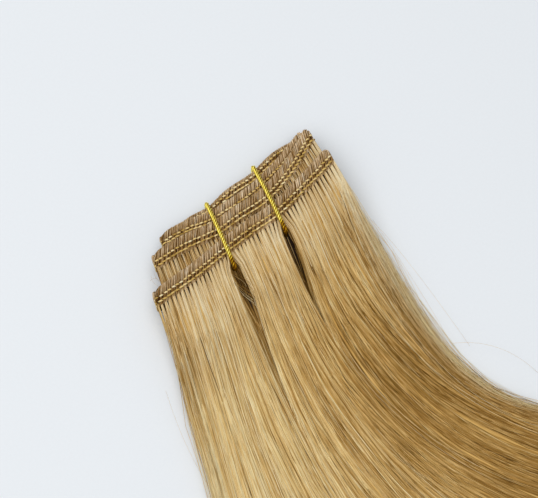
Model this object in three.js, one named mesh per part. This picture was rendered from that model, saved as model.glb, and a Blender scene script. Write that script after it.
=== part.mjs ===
import * as THREE from "three";

/*
A machine-sewn hair weft, folded into a low stack and tied, lying on a table with its hair swept out.
Millimetres, +Z up. The table is z = 0 and the origin is the centre of the part's base.
Plan sizes are given from under the middle of the front band: +X runs along that band to its right
end, and the hair leaves it toward -Y.
*/

// The sewn strip.
const STRIP_THICK = 1.0;
const STRIP_HEIGHT = 6.7;
const LAYER_PITCH = 1.35;
const LAYERS = 8;
const STACK_FLOOR = 2.0;

// Between these places along the front band, the strip's under layers lie below the back row.
const UNDER_FROM = -2;
const UNDER_TO = 24;

// The hair.
const HAIR_LENGTH = 254;
const HAIR_GAP = 0.35;
const HEAD_GAP = 0.42;
const LOCK_TIP_SHARE = 0.14;

// The elastic ties.
const TIE_THICK = 1.7;
const TIE_CLEAR = 0.3;
const TIE_SIDES = 8;
const TIE_DIVE = 6.8;

// Where the middle of the front band stands from the centre of the part's base.
const BAND_MIDDLE = { x: 15.2, y: 112.3 };

// The lower edge of each row of the strip in plan, at seven stations from its left end to its right.
const ROW_PLAN = {
  front: { x: [-47.4, -30, -12.6, 0, 12.6, 30, 47.6], y: [-0.6, -2.1, -2.3, -2.8, -4.0, -2.8, -0.5] },
  second: { x: [-37.2, -24, -10, 2, 14, 30, 47], y: [12.2, 10.3, 6.3, 5.4, 4.0, 6.6, 12.3] },
  third: { x: [-29.2, -18, -10, 2, 14, 30, 45.3], y: [17.0, 14.7, 11.7, 9.7, 9.0, 10.4, 13.4] },
  back: { x: [-24.5, -15, -7, 4, 17, 30, 41], y: [15.6, 15.2, 13.5, 14.2, 13.0, 13.9, 12.2] },
};
const ROW_NAMES = Object.keys(ROW_PLAN);

// How the hair runs in plan: its heading in degrees, by distance from the front band and by share
// across the bundle, from the left edge (-1) to the right edge (1).
const ACROSS = [-1, -0.3, 0.3, 0.65, 1];
const FLOW = [
  { along: 0, heading: [-113, -109, -107, -104, -100] },
  { along: 15, heading: [-115, -107, -106, -108, -103] },
  { along: 30, heading: [-116, -113, -112, -109, -106] },
  { along: 50, heading: [-117, -110, -107, -101, -105] },
  { along: 70, heading: [-117, -107, -98, -92, -101] },
  { along: 90, heading: [-118, -104, -90, -84, -95] },
  { along: 110, heading: [-117, -101, -82, -74, -79] },
  { along: 130, heading: [-114, -97, -73, -66, -58] },
  { along: 150, heading: [-110, -94, -64, -58, -50] },
  { along: 180, heading: [-105, -92, -62, -56, -52] },
  { along: 215, heading: [-99, -90, -68, -64, -62] },
  { along: 254, heading: [-94, -88, -76, -74, -74] },
];

// The height of the hair: the floor under it, and above that floor the top of each row's hair.
const FLOOR_BY_ALONG = { along: [0, 9, 27], z: [STACK_FLOOR, STACK_FLOOR, 0] };
const HEAP = [
  { along: 0, back: 5 * LAYER_PITCH, third: 6 * LAYER_PITCH, second: 7 * LAYER_PITCH, front: 8 * LAYER_PITCH },
  { along: 40, back: 3.4, third: 4.8, second: 6.2, front: 8.8 },
  { along: 80, back: 2.9, third: 4.0, second: 5.1, front: 7.4 },
  { along: 160, back: 2.2, third: 3.2, second: 4.2, front: 6.0 },
  { along: 254, back: 1.4, third: 2.5, second: 3.6, front: 4.9 },
];

// The ties' places across the bundle, and the parting that each one leaves in the hair.
const TIE_AT = { left: -0.26, right: 0.284 };
const PARTING = { along: [2, 5, 9, 16, 24], halfWidth: [0, 1.5, 1.7, 0.9, 0] };

// Stations down the hair past the band: the locks are fused up to the first free one.
const BODY_STATIONS = [2, 5, 9, 16, 24, 36, 52, 72, 92, 110, 128, 156, 188];
const FREE_STATIONS = 3;

// How far the hair of the lowest row takes to come down off the layers that lie under it.
const LIP_RUN = 1.4;

// Each row's hair: the hair that it lies on, its reach across at the head and in the body, its locks in
// the three spans between the ties, the facets on a lock and how deep the grooves between locks are.
const CURTAINS = [
  { node: "hair_front", row: "front", over: "second", head: [-1, 1], body: [-1, 1], locks: [5, 4, 5],
    facets: 4, groove: 0.5, reach: [0.9, 0.97], color: 0xc6a262 },
  { node: "hair_second", row: "second", over: "third", head: [-0.93, 0.96], body: [-0.97, 0.97],
    locks: [3, 3, 3], facets: 2, groove: 0.35, reach: [0.91, 0.98], color: 0xc09a58 },
  { node: "hair_third", row: "third", over: "back", head: [-0.81, 0.88], body: [-0.95, 0.95],
    locks: [3, 3, 3], facets: 2, groove: 0.35, reach: [0.92, 0.99], color: 0xb99152 },
  { node: "hair_back", row: "back", over: null, head: [-0.72, 0.84], body: [-0.98, 0.98],
    locks: [4, 3, 4], facets: 3, groove: 0.4, reach: [0.94, 1], color: 0xb5863f },
];

// A straight-line reading of a short table.
function lerpTable(xs, ys, x) {
  if (x <= xs[0]) return ys[0];
  const last = xs.length - 1;
  if (x >= xs[last]) return ys[last];
  const i = xs.findIndex((v) => v > x) - 1;
  const t = (x - xs[i]) / (xs[i + 1] - xs[i]);
  return ys[i] + (ys[i + 1] - ys[i]) * t;
}

// A smooth reading of a short table, with the slopes taken from its neighbours.
function smoothTable(xs, ys, x) {
  const last = xs.length - 1;
  const slope = (i) => {
    const a = Math.max(0, i - 1);
    const b = Math.min(last, i + 1);
    return (ys[b] - ys[a]) / (xs[b] - xs[a]);
  };
  if (x <= xs[0]) return ys[0] + slope(0) * (x - xs[0]);
  if (x >= xs[last]) return ys[last] + slope(last) * (x - xs[last]);
  const i = xs.findIndex((v) => v > x) - 1;
  const h = xs[i + 1] - xs[i];
  const t = (x - xs[i]) / h;
  const rise = ys[i + 1] - ys[i];
  const a = slope(i) * h - rise;
  const b = rise - slope(i + 1) * h;
  return ys[i] + rise * t + t * (1 - t) * (a * (1 - t) + b * t);
}

function ease(t) {
  const c = Math.min(1, Math.max(0, t));
  return c * c * (3 - 2 * c);
}

// A repeatable number between 0 and 1 for the small differences between locks.
function vary(i, k) {
  const v = Math.sin(i * 12.9898 + k * 78.233) * 43758.5453;
  return v - Math.floor(v);
}

const rowY = (row, x) => smoothTable(ROW_PLAN[row].x, ROW_PLAN[row].y, x);
const rowLeft = (row) => ROW_PLAN[row].x[0];
const rowRight = (row) => ROW_PLAN[row].x[ROW_PLAN[row].x.length - 1];

// The hair's plan: a point at a share across and a distance down the hair from the front band.
function heading(across, along) {
  const alongs = FLOW.map((f) => f.along);
  const columns = ACROSS.map((_, i) => lerpTable(alongs, FLOW.map((f) => f.heading[i]), along));
  return THREE.MathUtils.degToRad(lerpTable(ACROSS, columns, across));
}

function bandPoint(across) {
  const left = rowLeft("front");
  const x = left + ((rowRight("front") - left) * (across + 1)) / 2;
  return new THREE.Vector2(x, rowY("front", x));
}

function flowPoint(across, along) {
  const p = bandPoint(across);
  const steps = Math.max(1, Math.ceil(along / 3));
  const step = along / steps;
  for (let i = 0; i < steps; i += 1) {
    const h = heading(across, (i + 0.5) * step);
    p.x += step * Math.cos(h);
    p.y += step * Math.sin(h);
  }
  return p;
}

// How far up the hair's line, past the front band, it meets a line across given as y by x.
function alongAt(lineY, across) {
  let near = 6;
  let far = -40;
  for (let i = 0; i < 40; i += 1) {
    const mid = (near + far) / 2;
    const p = flowPoint(across, mid);
    if (p.y < lineY(p.x)) {
      near = mid;
    } else {
      far = mid;
    }
  }
  return near;
}

const rowAlong = (row, across) => alongAt((x) => rowY(row, x), across);

// The under and upper faces of one row's hair. The lowest row's hair is raised over the layers below it.
function hairLevels(spec, across, along, raised) {
  const edge = 1 - 0.22 * ease(along / 40) * Math.abs(across) ** 4;
  const alongs = HEAP.map((h) => h.along);
  const top = (row) => lerpTable(alongs, HEAP.map((h) => h[row]), along) * edge;
  const floor = lerpTable(FLOOR_BY_ALONG.along, FLOOR_BY_ALONG.z, along);
  const lift = raised ? 3 * LAYER_PITCH : 0;
  const under = spec.over ? floor + top(spec.over) : floor + lift;
  return { under, upper: floor + top(spec.row) - HAIR_GAP };
}

function meshFrom(name, positions, triangles, color, roughness, metalness) {
  const geometry = new THREE.BufferGeometry();
  geometry.setAttribute("position", new THREE.Float32BufferAttribute(positions, 3));
  geometry.setIndex(triangles);
  geometry.translate(BAND_MIDDLE.x, BAND_MIDDLE.y, 0);
  geometry.computeVertexNormals();
  const mesh = new THREE.Mesh(geometry, new THREE.MeshStandardMaterial({ color, roughness, metalness }));
  mesh.name = name;
  return mesh;
}

// The hair of one fold: locks side by side, fused along their shared sides from the head down, parted
// round the ties and free at the tips, where each lock narrows to its own end.
function hairCurtain(spec, order) {
  const spans = spec.locks;
  const lockCount = spans.reduce((sum, n) => sum + n, 0);
  const tieSides = [spans[0], spans[0] + spans[1]];
  const lips = spec.over ? 0 : 2;
  const bodyLast = BODY_STATIONS.length + lips;
  const lastStation = bodyLast + FREE_STATIONS;
  const bodyAlong = (station) => BODY_STATIONS[Math.max(0, Math.min(station, bodyLast) - lips - 1)];

  const sideAcross = (side, along) => {
    const spread = ease(along / 45);
    const left = THREE.MathUtils.lerp(spec.head[0], spec.body[0], spread);
    const right = THREE.MathUtils.lerp(spec.head[1], spec.body[1], spread);
    const marks = [left, TIE_AT.left, TIE_AT.right, right];
    let span = 0;
    let first = 0;
    while (span < 2 && side > first + spans[span]) {
      first += spans[span];
      span += 1;
    }
    const share = (side - first) / spans[span];
    const width = (marks[span + 1] - marks[span]) / spans[span];
    const inner = share > 0 && share < 1;
    const uneven = inner ? (vary(side, order) - 0.5) * 0.45 * width : 0;
    const outer = side === 0 || side === lockCount;
    const wander = outer ? 0 : Math.sin(along / 38 + 5 * vary(side, order + 7)) * 0.12 * width * ease(along / 60);
    return THREE.MathUtils.lerp(marks[span], marks[span + 1], share) + uneven + wander;
  };

  const lockEnd = (lock) => HAIR_LENGTH * THREE.MathUtils.lerp(...spec.reach, vary(lock, order + 3));
  const lockAlong = (lock, station) => {
    const past = bodyAlong(station);
    if (station <= bodyLast) return past;
    return THREE.MathUtils.lerp(past, lockEnd(lock), (station - bodyLast) / FREE_STATIONS);
  };
  const headAlong = (station, across) => {
    const head = rowAlong(spec.row, across) + HEAD_GAP;
    if (station === 0) return head;
    const lip = Math.max(head, alongAt(underLayer(0).y, across)) + 2 * HEAD_GAP;
    return lip + (station - 1) * LIP_RUN;
  };

  // Where a side between two locks stands open, and how far in mm.
  const freeFrom = (side) => bodyLast + Math.floor(2 * vary(side, order + 11));
  const partedBy = (side, station) => {
    if (!tieSides.includes(side) || station <= lips || station > bodyLast) return 0;
    return lerpTable(PARTING.along, PARTING.halfWidth, bodyAlong(station));
  };
  const isOpen = (side, station) => {
    if (side === 0 || side === lockCount) return true;
    return partedBy(side, station) > 0 || station > freeFrom(side);
  };

  // One column of points: a lock, the share across it and a station down it.
  const columnPoint = (lock, share, station) => {
    const side = share === 0 ? lock : lock + 1;
    const onSide = share === 0 || share === 1;
    const shared = onSide && !isOpen(side, station);
    const own = lockAlong(lock, station);
    const other = shared ? lockAlong(side === lock ? lock - 1 : lock + 1, station) : own;
    let along = (own + other) / 2;
    const reading = station <= lips ? 0 : along;
    let left = sideAcross(lock, reading);
    let right = sideAcross(lock + 1, reading);
    const narrowing = (from) => {
      const start = bodyAlong(bodyLast);
      const free = station > from ? (along - start) / (lockEnd(lock) - start) : 0;
      return THREE.MathUtils.lerp(1, LOCK_TIP_SHARE, Math.min(1, free) ** 1.4);
    };
    const centre = (left + right) / 2;
    left = centre + (left - centre) * narrowing(lock === 0 ? bodyLast : freeFrom(lock));
    right = centre + (right - centre) * narrowing(lock + 1 === lockCount ? bodyLast : freeFrom(lock + 1));
    const halfSpan = (rowRight("front") - rowLeft("front")) / 2;
    left += partedBy(lock, station) / halfSpan;
    right -= partedBy(lock + 1, station) / halfSpan;
    const across = THREE.MathUtils.lerp(left, right, share);
    if (station <= lips) along = headAlong(station, across);
    const plan = flowPoint(across, along);
    const { under, upper } = hairLevels(spec, across, along, station <= 1);
    const crown = 1 - (2 * share - 1) ** 2;
    const depth = spec.groove * ease((along + 4) / 24) * (upper - under);
    const settle = 0.3 * vary(lock, order + 5) * depth;
    const top = upper - depth * (1 - crown) - settle * crown;
    return { x: plan.x, y: plan.y, under, top };
  };

  const positions = [];
  const known = new Map();
  const vertex = (lock, facet, station, face) => {
    const edge = facet === 0 || facet === spec.facets;
    const side = facet === 0 ? lock : lock + 1;
    let key = `${lock}.${facet}.${station}.${face}`;
    if (edge && !isOpen(side, station)) key = `side${side}.${station}.${face}`;
    if (!known.has(key)) {
      const p = columnPoint(lock, facet / spec.facets, station);
      known.set(key, positions.length / 3);
      positions.push(p.x, p.y, face === "top" ? p.top : p.under);
    }
    return known.get(key);
  };

  const triangles = [];
  const quad = (a, b, c, d) => triangles.push(a, b, c, a, c, d);
  for (let lock = 0; lock < lockCount; lock += 1) {
    const at = (facet, station, face) => vertex(lock, facet, station, face);
    const last = spec.facets;
    for (let station = 0; station < lastStation; station += 1) {
      const next = station + 1;
      for (let f = 0; f < last; f += 1) {
        quad(at(f, station, "top"), at(f, next, "top"), at(f + 1, next, "top"), at(f + 1, station, "top"));
        quad(at(f, station, "low"), at(f + 1, station, "low"), at(f + 1, next, "low"), at(f, next, "low"));
      }
      if (isOpen(lock, station) || isOpen(lock, next)) {
        quad(at(0, station, "top"), at(0, station, "low"), at(0, next, "low"), at(0, next, "top"));
      }
      if (isOpen(lock + 1, station) || isOpen(lock + 1, next)) {
        quad(at(last, station, "top"), at(last, next, "top"), at(last, next, "low"), at(last, station, "low"));
      }
    }
    for (let f = 0; f < last; f += 1) {
      quad(at(f, 0, "top"), at(f + 1, 0, "top"), at(f + 1, 0, "low"), at(f, 0, "low"));
      const end = lastStation;
      quad(at(f, end, "top"), at(f, end, "low"), at(f + 1, end, "low"), at(f + 1, end, "top"));
    }
  }
  return meshFrom(spec.node, positions, triangles, spec.color, 0.55, 0);
}

// The strip: one flat band wound into a low coil. Its upper layers are the four rows, and each one turns
// under at its left end and comes back below them to the right end of the next row.
function layerHeight(layer) {
  return STACK_FLOOR + STRIP_THICK / 2 + (LAYERS - 1 - layer) * LAYER_PITCH;
}

function upperLayer(turn) {
  const row = ROW_NAMES[turn];
  return { left: rowLeft(row), right: rowRight(row), z: layerHeight(turn), y: (x) => rowY(row, x) };
}

function underLayer(turn) {
  const own = ROW_NAMES[turn];
  const next = ROW_NAMES[Math.min(turn + 1, ROW_NAMES.length - 1)];
  const left = rowLeft(own);
  const right = rowRight(next);
  const y = (x) => {
    const start = ease((x - left) / (UNDER_FROM - left));
    const end = ease((x - UNDER_TO) / (right - UNDER_TO));
    const run = THREE.MathUtils.lerp(rowY(own, x), rowY("back", x), start);
    return THREE.MathUtils.lerp(run, rowY(next, x), end);
  };
  return { left, right, z: layerHeight(LAYERS - 1 - turn), y };
}

function weftStrip() {
  const perUpper = 11;
  const perUnder = 16;
  const perCorner = 2;
  const corner = LAYER_PITCH / 2;
  const stations = [];
  const station = (plan, x, z, turned, reach) => {
    const flow = heading((2 * (x - plan.left)) / (plan.right - plan.left) - 1, 0);
    const widthways = new THREE.Vector3(-Math.cos(flow), -Math.sin(flow), 0);
    const run = new THREE.Vector3(widthways.y, -widthways.x, 0);
    const outward = new THREE.Vector3(0, 0, Math.cos(turned)).addScaledVector(run, -Math.sin(turned));
    const centre = new THREE.Vector3(x, plan.y(x), z).addScaledVector(widthways, STRIP_HEIGHT / 2);
    centre.addScaledVector(outward, reach);
    stations.push({ centre, widthways, outward });
  };
  const straight = (plan, from, to, turned, steps) => {
    for (let i = 0; i <= steps; i += 1) {
      station(plan, THREE.MathUtils.lerp(from, to, i / steps), plan.z, turned, 0);
    }
  };
  const fold = (plan, x, fromZ, toZ, turned) => {
    const down = Math.sign(toZ - fromZ);
    for (let i = 1; i <= perCorner; i += 1) {
      station(plan, x, fromZ + down * corner, turned + (i * Math.PI) / 2 / perCorner, corner);
    }
    for (let i = 0; i < perCorner; i += 1) {
      station(plan, x, toZ - down * corner, turned + Math.PI / 2 + (i * Math.PI) / 2 / perCorner, corner);
    }
  };
  ROW_NAMES.forEach((_, turn) => {
    const upper = upperLayer(turn);
    const under = underLayer(turn);
    const after = turn + 1 < ROW_NAMES.length ? upperLayer(turn + 1) : null;
    straight(upper, upper.right, upper.left, 0, perUpper);
    fold(upper, upper.left, upper.z, under.z, 0);
    straight(under, under.left, under.right, Math.PI, perUnder);
    if (after) fold(after, after.right, under.z, after.z, Math.PI);
  });
  const positions = [];
  const corners = [[-1, 1], [1, 1], [1, -1], [-1, -1]];
  for (const s of stations) {
    for (const [w, n] of corners) {
      const p = s.centre.clone();
      p.addScaledVector(s.widthways, (w * STRIP_HEIGHT) / 2);
      p.addScaledVector(s.outward, (n * STRIP_THICK) / 2);
      positions.push(p.x, p.y, p.z);
    }
  }
  const triangles = [];
  const quad = (a, b, c, d) => triangles.push(a, b, c, a, c, d);
  for (let i = 0; i + 1 < stations.length; i += 1) {
    for (let k = 0; k < 4; k += 1) {
      const next = (k + 1) % 4;
      quad(4 * i + k, 4 * i + next, 4 * i + 4 + next, 4 * i + 4 + k);
    }
  }
  const end = 4 * (stations.length - 1);
  quad(3, 2, 1, 0);
  quad(end, end + 1, end + 2, end + 3);
  return meshFrom("weft_strip", positions, triangles, 0xb49668, 0.75, 0);
}

// The closed line that a taut cord takes round a set of corners, at a set distance from them.
function tautLoop(corners, reach) {
  const sorted = [...corners].sort((a, b) => a.t - b.t || a.z - b.z);
  const turnOf = (o, a, b) => (a.t - o.t) * (b.z - o.z) - (a.z - o.z) * (b.t - o.t);
  const half = (points) => {
    const hull = [];
    for (const p of points) {
      while (hull.length > 1 && turnOf(hull[hull.length - 2], hull[hull.length - 1], p) <= 1e-9) hull.pop();
      hull.push(p);
    }
    return hull.slice(0, -1);
  };
  const hull = [...half(sorted), ...half([...sorted].reverse())];
  const loop = [];
  hull.forEach((p, i) => {
    const before = hull[(i + hull.length - 1) % hull.length];
    const after = hull[(i + 1) % hull.length];
    const into = Math.atan2(p.z - before.z, p.t - before.t) - Math.PI / 2;
    let turn = Math.atan2(after.z - p.z, after.t - p.t) - Math.PI / 2 - into;
    turn = THREE.MathUtils.euclideanModulo(turn, 2 * Math.PI);
    const steps = Math.max(1, Math.ceil(turn / 0.5));
    for (let k = 0; k <= steps; k += 1) {
      const out = into + (turn * k) / steps;
      loop.push({ t: p.t + reach * Math.cos(out), z: p.z + reach * Math.sin(out), out });
    }
  });
  return loop;
}

// A tie: a closed elastic loop over the front band, down the back of the stack, along the table and up
// again through the parting in the hair.
function tieLoop(node, across) {
  const start = bandPoint(across);
  const flow = heading(across, 0);
  const along = new THREE.Vector3(Math.cos(flow), Math.sin(flow), 0);
  const sideways = new THREE.Vector3(-along.y, along.x, 0);
  const reach = TIE_THICK / 2 + TIE_CLEAR;
  const stackTop = layerHeight(0) + STRIP_THICK / 2;
  const corners = [
    { t: TIE_DIVE - reach, z: stackTop },
    { t: TIE_DIVE - reach, z: STACK_FLOOR },
  ];
  const layers = ROW_NAMES.flatMap((_, turn) => [upperLayer(turn), underLayer(turn)]);
  for (const layer of layers) {
    const t = alongAt(layer.y, across) - STRIP_HEIGHT;
    corners.push({ t, z: layer.z + STRIP_THICK / 2 });
    corners.push({ t, z: layer.z - STRIP_THICK / 2 });
  }
  const loop = tautLoop(corners, reach);
  const radius = TIE_THICK / 2 / Math.cos(Math.PI / TIE_SIDES);
  const positions = [];
  for (const { t, z, out } of loop) {
    const centre = new THREE.Vector3(start.x, start.y, z).addScaledVector(along, t);
    const outward = along.clone().multiplyScalar(Math.cos(out));
    outward.z = Math.sin(out);
    for (let k = 0; k < TIE_SIDES; k += 1) {
      const turn = (2 * Math.PI * (k + 0.5)) / TIE_SIDES;
      const p = centre.clone();
      p.addScaledVector(outward, radius * Math.cos(turn));
      p.addScaledVector(sideways, radius * Math.sin(turn));
      positions.push(p.x, p.y, p.z);
    }
  }
  const triangles = [];
  for (let i = 0; i < loop.length; i += 1) {
    const next = (i + 1) % loop.length;
    for (let k = 0; k < TIE_SIDES; k += 1) {
      const beside = (k + 1) % TIE_SIDES;
      const a = i * TIE_SIDES + k;
      const b = i * TIE_SIDES + beside;
      const c = next * TIE_SIDES + beside;
      const d = next * TIE_SIDES + k;
      triangles.push(a, b, c, a, c, d);
    }
  }
  return meshFrom(node, positions, triangles, 0xc9a012, 0.35, 0.6);
}

const weft = new THREE.Group();
weft.name = "hair_weft";
weft.add(weftStrip());
CURTAINS.forEach((spec, order) => weft.add(hairCurtain(spec, order)));
weft.add(tieLoop("tie_left", TIE_AT.left));
weft.add(tieLoop("tie_right", TIE_AT.right));

export default weft;
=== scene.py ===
"""A golden blonde hair weft, wound into a low stack, tied with gold elastic and laid on a pale table.

Plan sizes are in millimetres from under the middle of the front band: +X runs along that band to its right
end, +Y points from the hair to the band and +Z is up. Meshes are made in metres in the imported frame.
"""

import logging
import math
from collections.abc import Callable
from dataclasses import dataclass
from enum import Enum, IntEnum
from functools import partial

import bpy
import numpy as np
from mathutils import Matrix, Vector
from numpy.typing import NDArray

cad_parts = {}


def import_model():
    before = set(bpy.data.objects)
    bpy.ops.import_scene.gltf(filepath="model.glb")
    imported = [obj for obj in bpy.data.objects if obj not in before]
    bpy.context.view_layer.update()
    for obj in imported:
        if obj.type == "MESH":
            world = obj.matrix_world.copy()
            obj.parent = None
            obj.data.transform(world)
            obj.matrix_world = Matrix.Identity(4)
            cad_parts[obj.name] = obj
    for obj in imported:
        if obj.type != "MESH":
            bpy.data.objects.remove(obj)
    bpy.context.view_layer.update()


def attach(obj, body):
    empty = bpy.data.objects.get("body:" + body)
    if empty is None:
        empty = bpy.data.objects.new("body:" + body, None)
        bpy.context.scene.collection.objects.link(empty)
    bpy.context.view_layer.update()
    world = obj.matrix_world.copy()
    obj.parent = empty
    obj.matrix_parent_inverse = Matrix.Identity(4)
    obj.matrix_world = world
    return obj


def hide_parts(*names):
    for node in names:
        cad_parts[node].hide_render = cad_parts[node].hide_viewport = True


Array = NDArray[np.float64]
Colour = tuple[float, float, float]
Pair = tuple[float, float]
Shaper = Callable[[Array, Array], Array]
Chance = np.random.Generator
Piece = bpy.types.Object
Mesh = bpy.types.Mesh
Material = bpy.types.Material
Tree = bpy.types.NodeTree
Node = bpy.types.Node
Socket = bpy.types.NodeSocket

log = logging.getLogger("hair_weft")

MM = 0.001
BAKE_MAP = "OFBake"
FLOW_MAP = "flow"
BODY = "root"
SEED = 417


class Row(Enum):
    """The rows of the strip that show, from the nearest to the furthest back."""

    FRONT = "front"
    SECOND = "second"
    THIRD = "third"
    BACK = "back"


class Slot(Enum):
    """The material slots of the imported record."""

    HAIR = "hair"
    BAND = "weft_band"
    GOLD = "gold_elastic"


class Own(IntEnum):
    """What a side, lock, clump, wisp, tooth or tuft of hair has of its own, and the seed that it takes."""

    SIDE = 0
    REACH = 3
    SETTLE = 5
    SWAY = 7
    CLUMP_MIDDLE = 21
    CLUMP_HOLD = 22
    TOOTH_MIDDLE = 31
    TOOTH_LENGTH = 32
    TOOTH_BITE = 33
    SWING = 41
    SWING_WAVE = 42
    SWING_PHASE = 43
    CLUMP_TONE = 51
    TONE_WAVE = 52
    TONE_PHASE = 53
    WISP_TONE = 54
    WISP_LIFT = 55
    WISP_WAVE = 56
    WISP_PHASE = 57
    LOCK_TONE = 58
    TUFT_TONE = 61
    TUFT_TILT = 62
    CROSSING_TONE = 71


ROWS = list(Row)


@dataclass(frozen=True)
class Sizes:
    """The driving sizes of the wound weft, in millimetres."""

    strip_thick: float = 1.0
    strip_height: float = 6.7
    layer_pitch: float = 1.35
    layers: int = 8
    stack_floor: float = 2.0
    under_from: float = -2.0
    under_to: float = 24.0
    hair_length: float = 254.0
    hair_gap: float = 0.35
    stitch_pitch: float = 2.0
    tie_thick: float = 1.7
    tie_clear: float = 0.3
    tie_dive: float = 6.8
    tie_left: float = -0.26
    tie_right: float = 0.284
    middle_x: float = 15.2
    middle_y: float = 112.3


SIZES = Sizes()
TIE_PLACES = (SIZES.tie_left, SIZES.tie_right)

# The darkest and the lightest tone that a strand takes.
TONE_LIMITS = (0.02, 0.98)

# The lower edge of each row in plan, at seven stations from its left end to its right.
ROW_X = {
    Row.FRONT: (-47.4, -30.0, -12.6, 0.0, 12.6, 30.0, 47.6),
    Row.SECOND: (-37.2, -24.0, -10.0, 2.0, 14.0, 30.0, 47.0),
    Row.THIRD: (-29.2, -18.0, -10.0, 2.0, 14.0, 30.0, 45.3),
    Row.BACK: (-24.5, -15.0, -7.0, 4.0, 17.0, 30.0, 41.0),
}
ROW_Y = {
    Row.FRONT: (-0.6, -2.1, -2.3, -2.8, -4.0, -2.8, -0.5),
    Row.SECOND: (12.2, 10.3, 6.3, 5.4, 4.0, 6.6, 12.3),
    Row.THIRD: (17.0, 14.7, 11.7, 9.7, 9.0, 10.4, 13.4),
    Row.BACK: (15.6, 15.2, 13.5, 14.2, 13.0, 13.9, 12.2),
}

# The heading of the hair in degrees, by share across the bundle (columns) and by distance from the front
# band (rows).
FLOW_ACROSS = (-1.0, -0.3, 0.3, 0.65, 1.0)
FLOW_HEADING = {
    0: (-113, -109, -107, -104, -100),
    15: (-115, -107, -106, -108, -103),
    30: (-116, -113, -112, -109, -106),
    50: (-117, -110, -107, -101, -105),
    70: (-117, -107, -98, -92, -101),
    90: (-118, -104, -90, -84, -95),
    110: (-117, -101, -82, -74, -79),
    130: (-114, -97, -73, -66, -58),
    150: (-110, -94, -64, -58, -50),
    180: (-105, -92, -62, -56, -52),
    215: (-99, -90, -68, -64, -62),
    254: (-94, -88, -76, -74, -74),
}

# The floor under the hair, and above it the top of each row's hair, by distance from the front band.
FLOOR_ALONG = (0.0, 9.0, 27.0)
FLOOR_HEIGHT = (2.0, 2.0, 0.0)
HEAP_ALONG = (0.0, 40.0, 80.0, 160.0, 254.0)
HEAP_HEIGHT = {
    Row.BACK: (6.75, 3.4, 2.9, 2.2, 1.4),
    Row.THIRD: (8.1, 4.8, 4.0, 3.2, 2.5),
    Row.SECOND: (9.45, 6.2, 5.1, 4.2, 3.6),
    Row.FRONT: (10.8, 8.8, 7.4, 6.0, 4.9),
}

# How much lower the hair lies at its outer edges, as a share, and the distance over which it sinks to that.
EDGE_DROP = 0.22
EDGE_DROP_OVER = 40.0

# Half the width of the parting that a tie leaves in the hair, by distance from the front band.
PARTING_ALONG = (2.0, 5.0, 9.0, 16.0, 24.0, 34.0, 48.0, 64.0, 80.0)
PARTING_LEFT = (0.0, 1.8, 2.4, 2.7, 2.7, 2.4, 1.9, 1.0, 0.0)
PARTING_RIGHT = (0.0, 1.5, 2.2, 2.2, 1.9, 1.4, 0.7, 0.0, 0.0)

# How far the two lines of stitching lie above the lower edge of each row's band.
STITCH_LINES = {
    Row.FRONT: (2.6, 0.6),
    Row.SECOND: (2.6, 0.6),
    Row.THIRD: (3.0, 1.7),
    Row.BACK: (4.9, 3.1),
}

# Where along the flow an edge of the strip is looked for, and how often the search is halved.
MEET_NEAR = 6.0
MEET_FAR = -40.0
HALVINGS = 40

# Points of a rolled grid closer than this are merged, in metres.
SEAM_MERGE = 2e-6

UPWARD = np.array((0.0, 0.0, 1.0))


def ease(value: Array | float) -> Array:
    """Gives a smooth step from 0 to 1 over the values 0 to 1."""
    held = np.clip(value, 0.0, 1.0)
    return held * held * (3.0 - 2.0 * held)


def mix(low: Array | float, high: Array | float, share: Array | float) -> Array:
    """Gives the value that lies a share of the way from low to high."""
    return low + (high - low) * share


def vary(index: Array | float, kind: int) -> Array:
    """Gives a repeatable number between 0 and 1 for the small differences between locks."""
    value = np.sin(np.asarray(index) * 12.9898 + kind * 78.233) * 43758.5453
    return value - np.floor(value)


def smooth_read(xs: tuple[float, ...], ys: tuple[float, ...], x: Array | float) -> Array:
    """Reads a short table smoothly, with the slopes taken from its neighbours.

    Args:
        xs: The rising places of the table.
        ys: The value at each place.
        x: Where to read.

    Returns:
        The values read, in the shape of x.
    """
    knots = np.asarray(xs)
    values = np.asarray(ys)
    place = np.asarray(x, dtype=float)
    last = len(knots) - 1
    before = np.maximum(np.arange(last + 1) - 1, 0)
    after = np.minimum(np.arange(last + 1) + 1, last)
    slopes = (values[after] - values[before]) / (knots[after] - knots[before])
    i = np.clip(np.searchsorted(knots, place, side="right") - 1, 0, last - 1)
    width = knots[i + 1] - knots[i]
    t = np.clip((place - knots[i]) / width, 0.0, 1.0)
    rise = values[i + 1] - values[i]
    a = slopes[i] * width - rise
    b = rise - slopes[i + 1] * width
    inside = values[i] + rise * t + t * (1 - t) * (a * (1 - t) + b * t)
    past = np.where(place < knots[0], slopes[0] * (place - knots[0]), 0.0)
    past = past + np.where(place > knots[last], slopes[last] * (place - knots[last]), 0.0)
    return inside + past


def row_y(row: Row, x: Array | float) -> Array:
    """Gives the plan place of a row's lower edge at a place along the front band."""
    return smooth_read(ROW_X[row], ROW_Y[row], x)


def in_frame(points: Array) -> Array:
    """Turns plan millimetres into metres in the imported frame."""
    return (points + np.array((SIZES.middle_x, SIZES.middle_y, 0.0))) * MM


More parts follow.
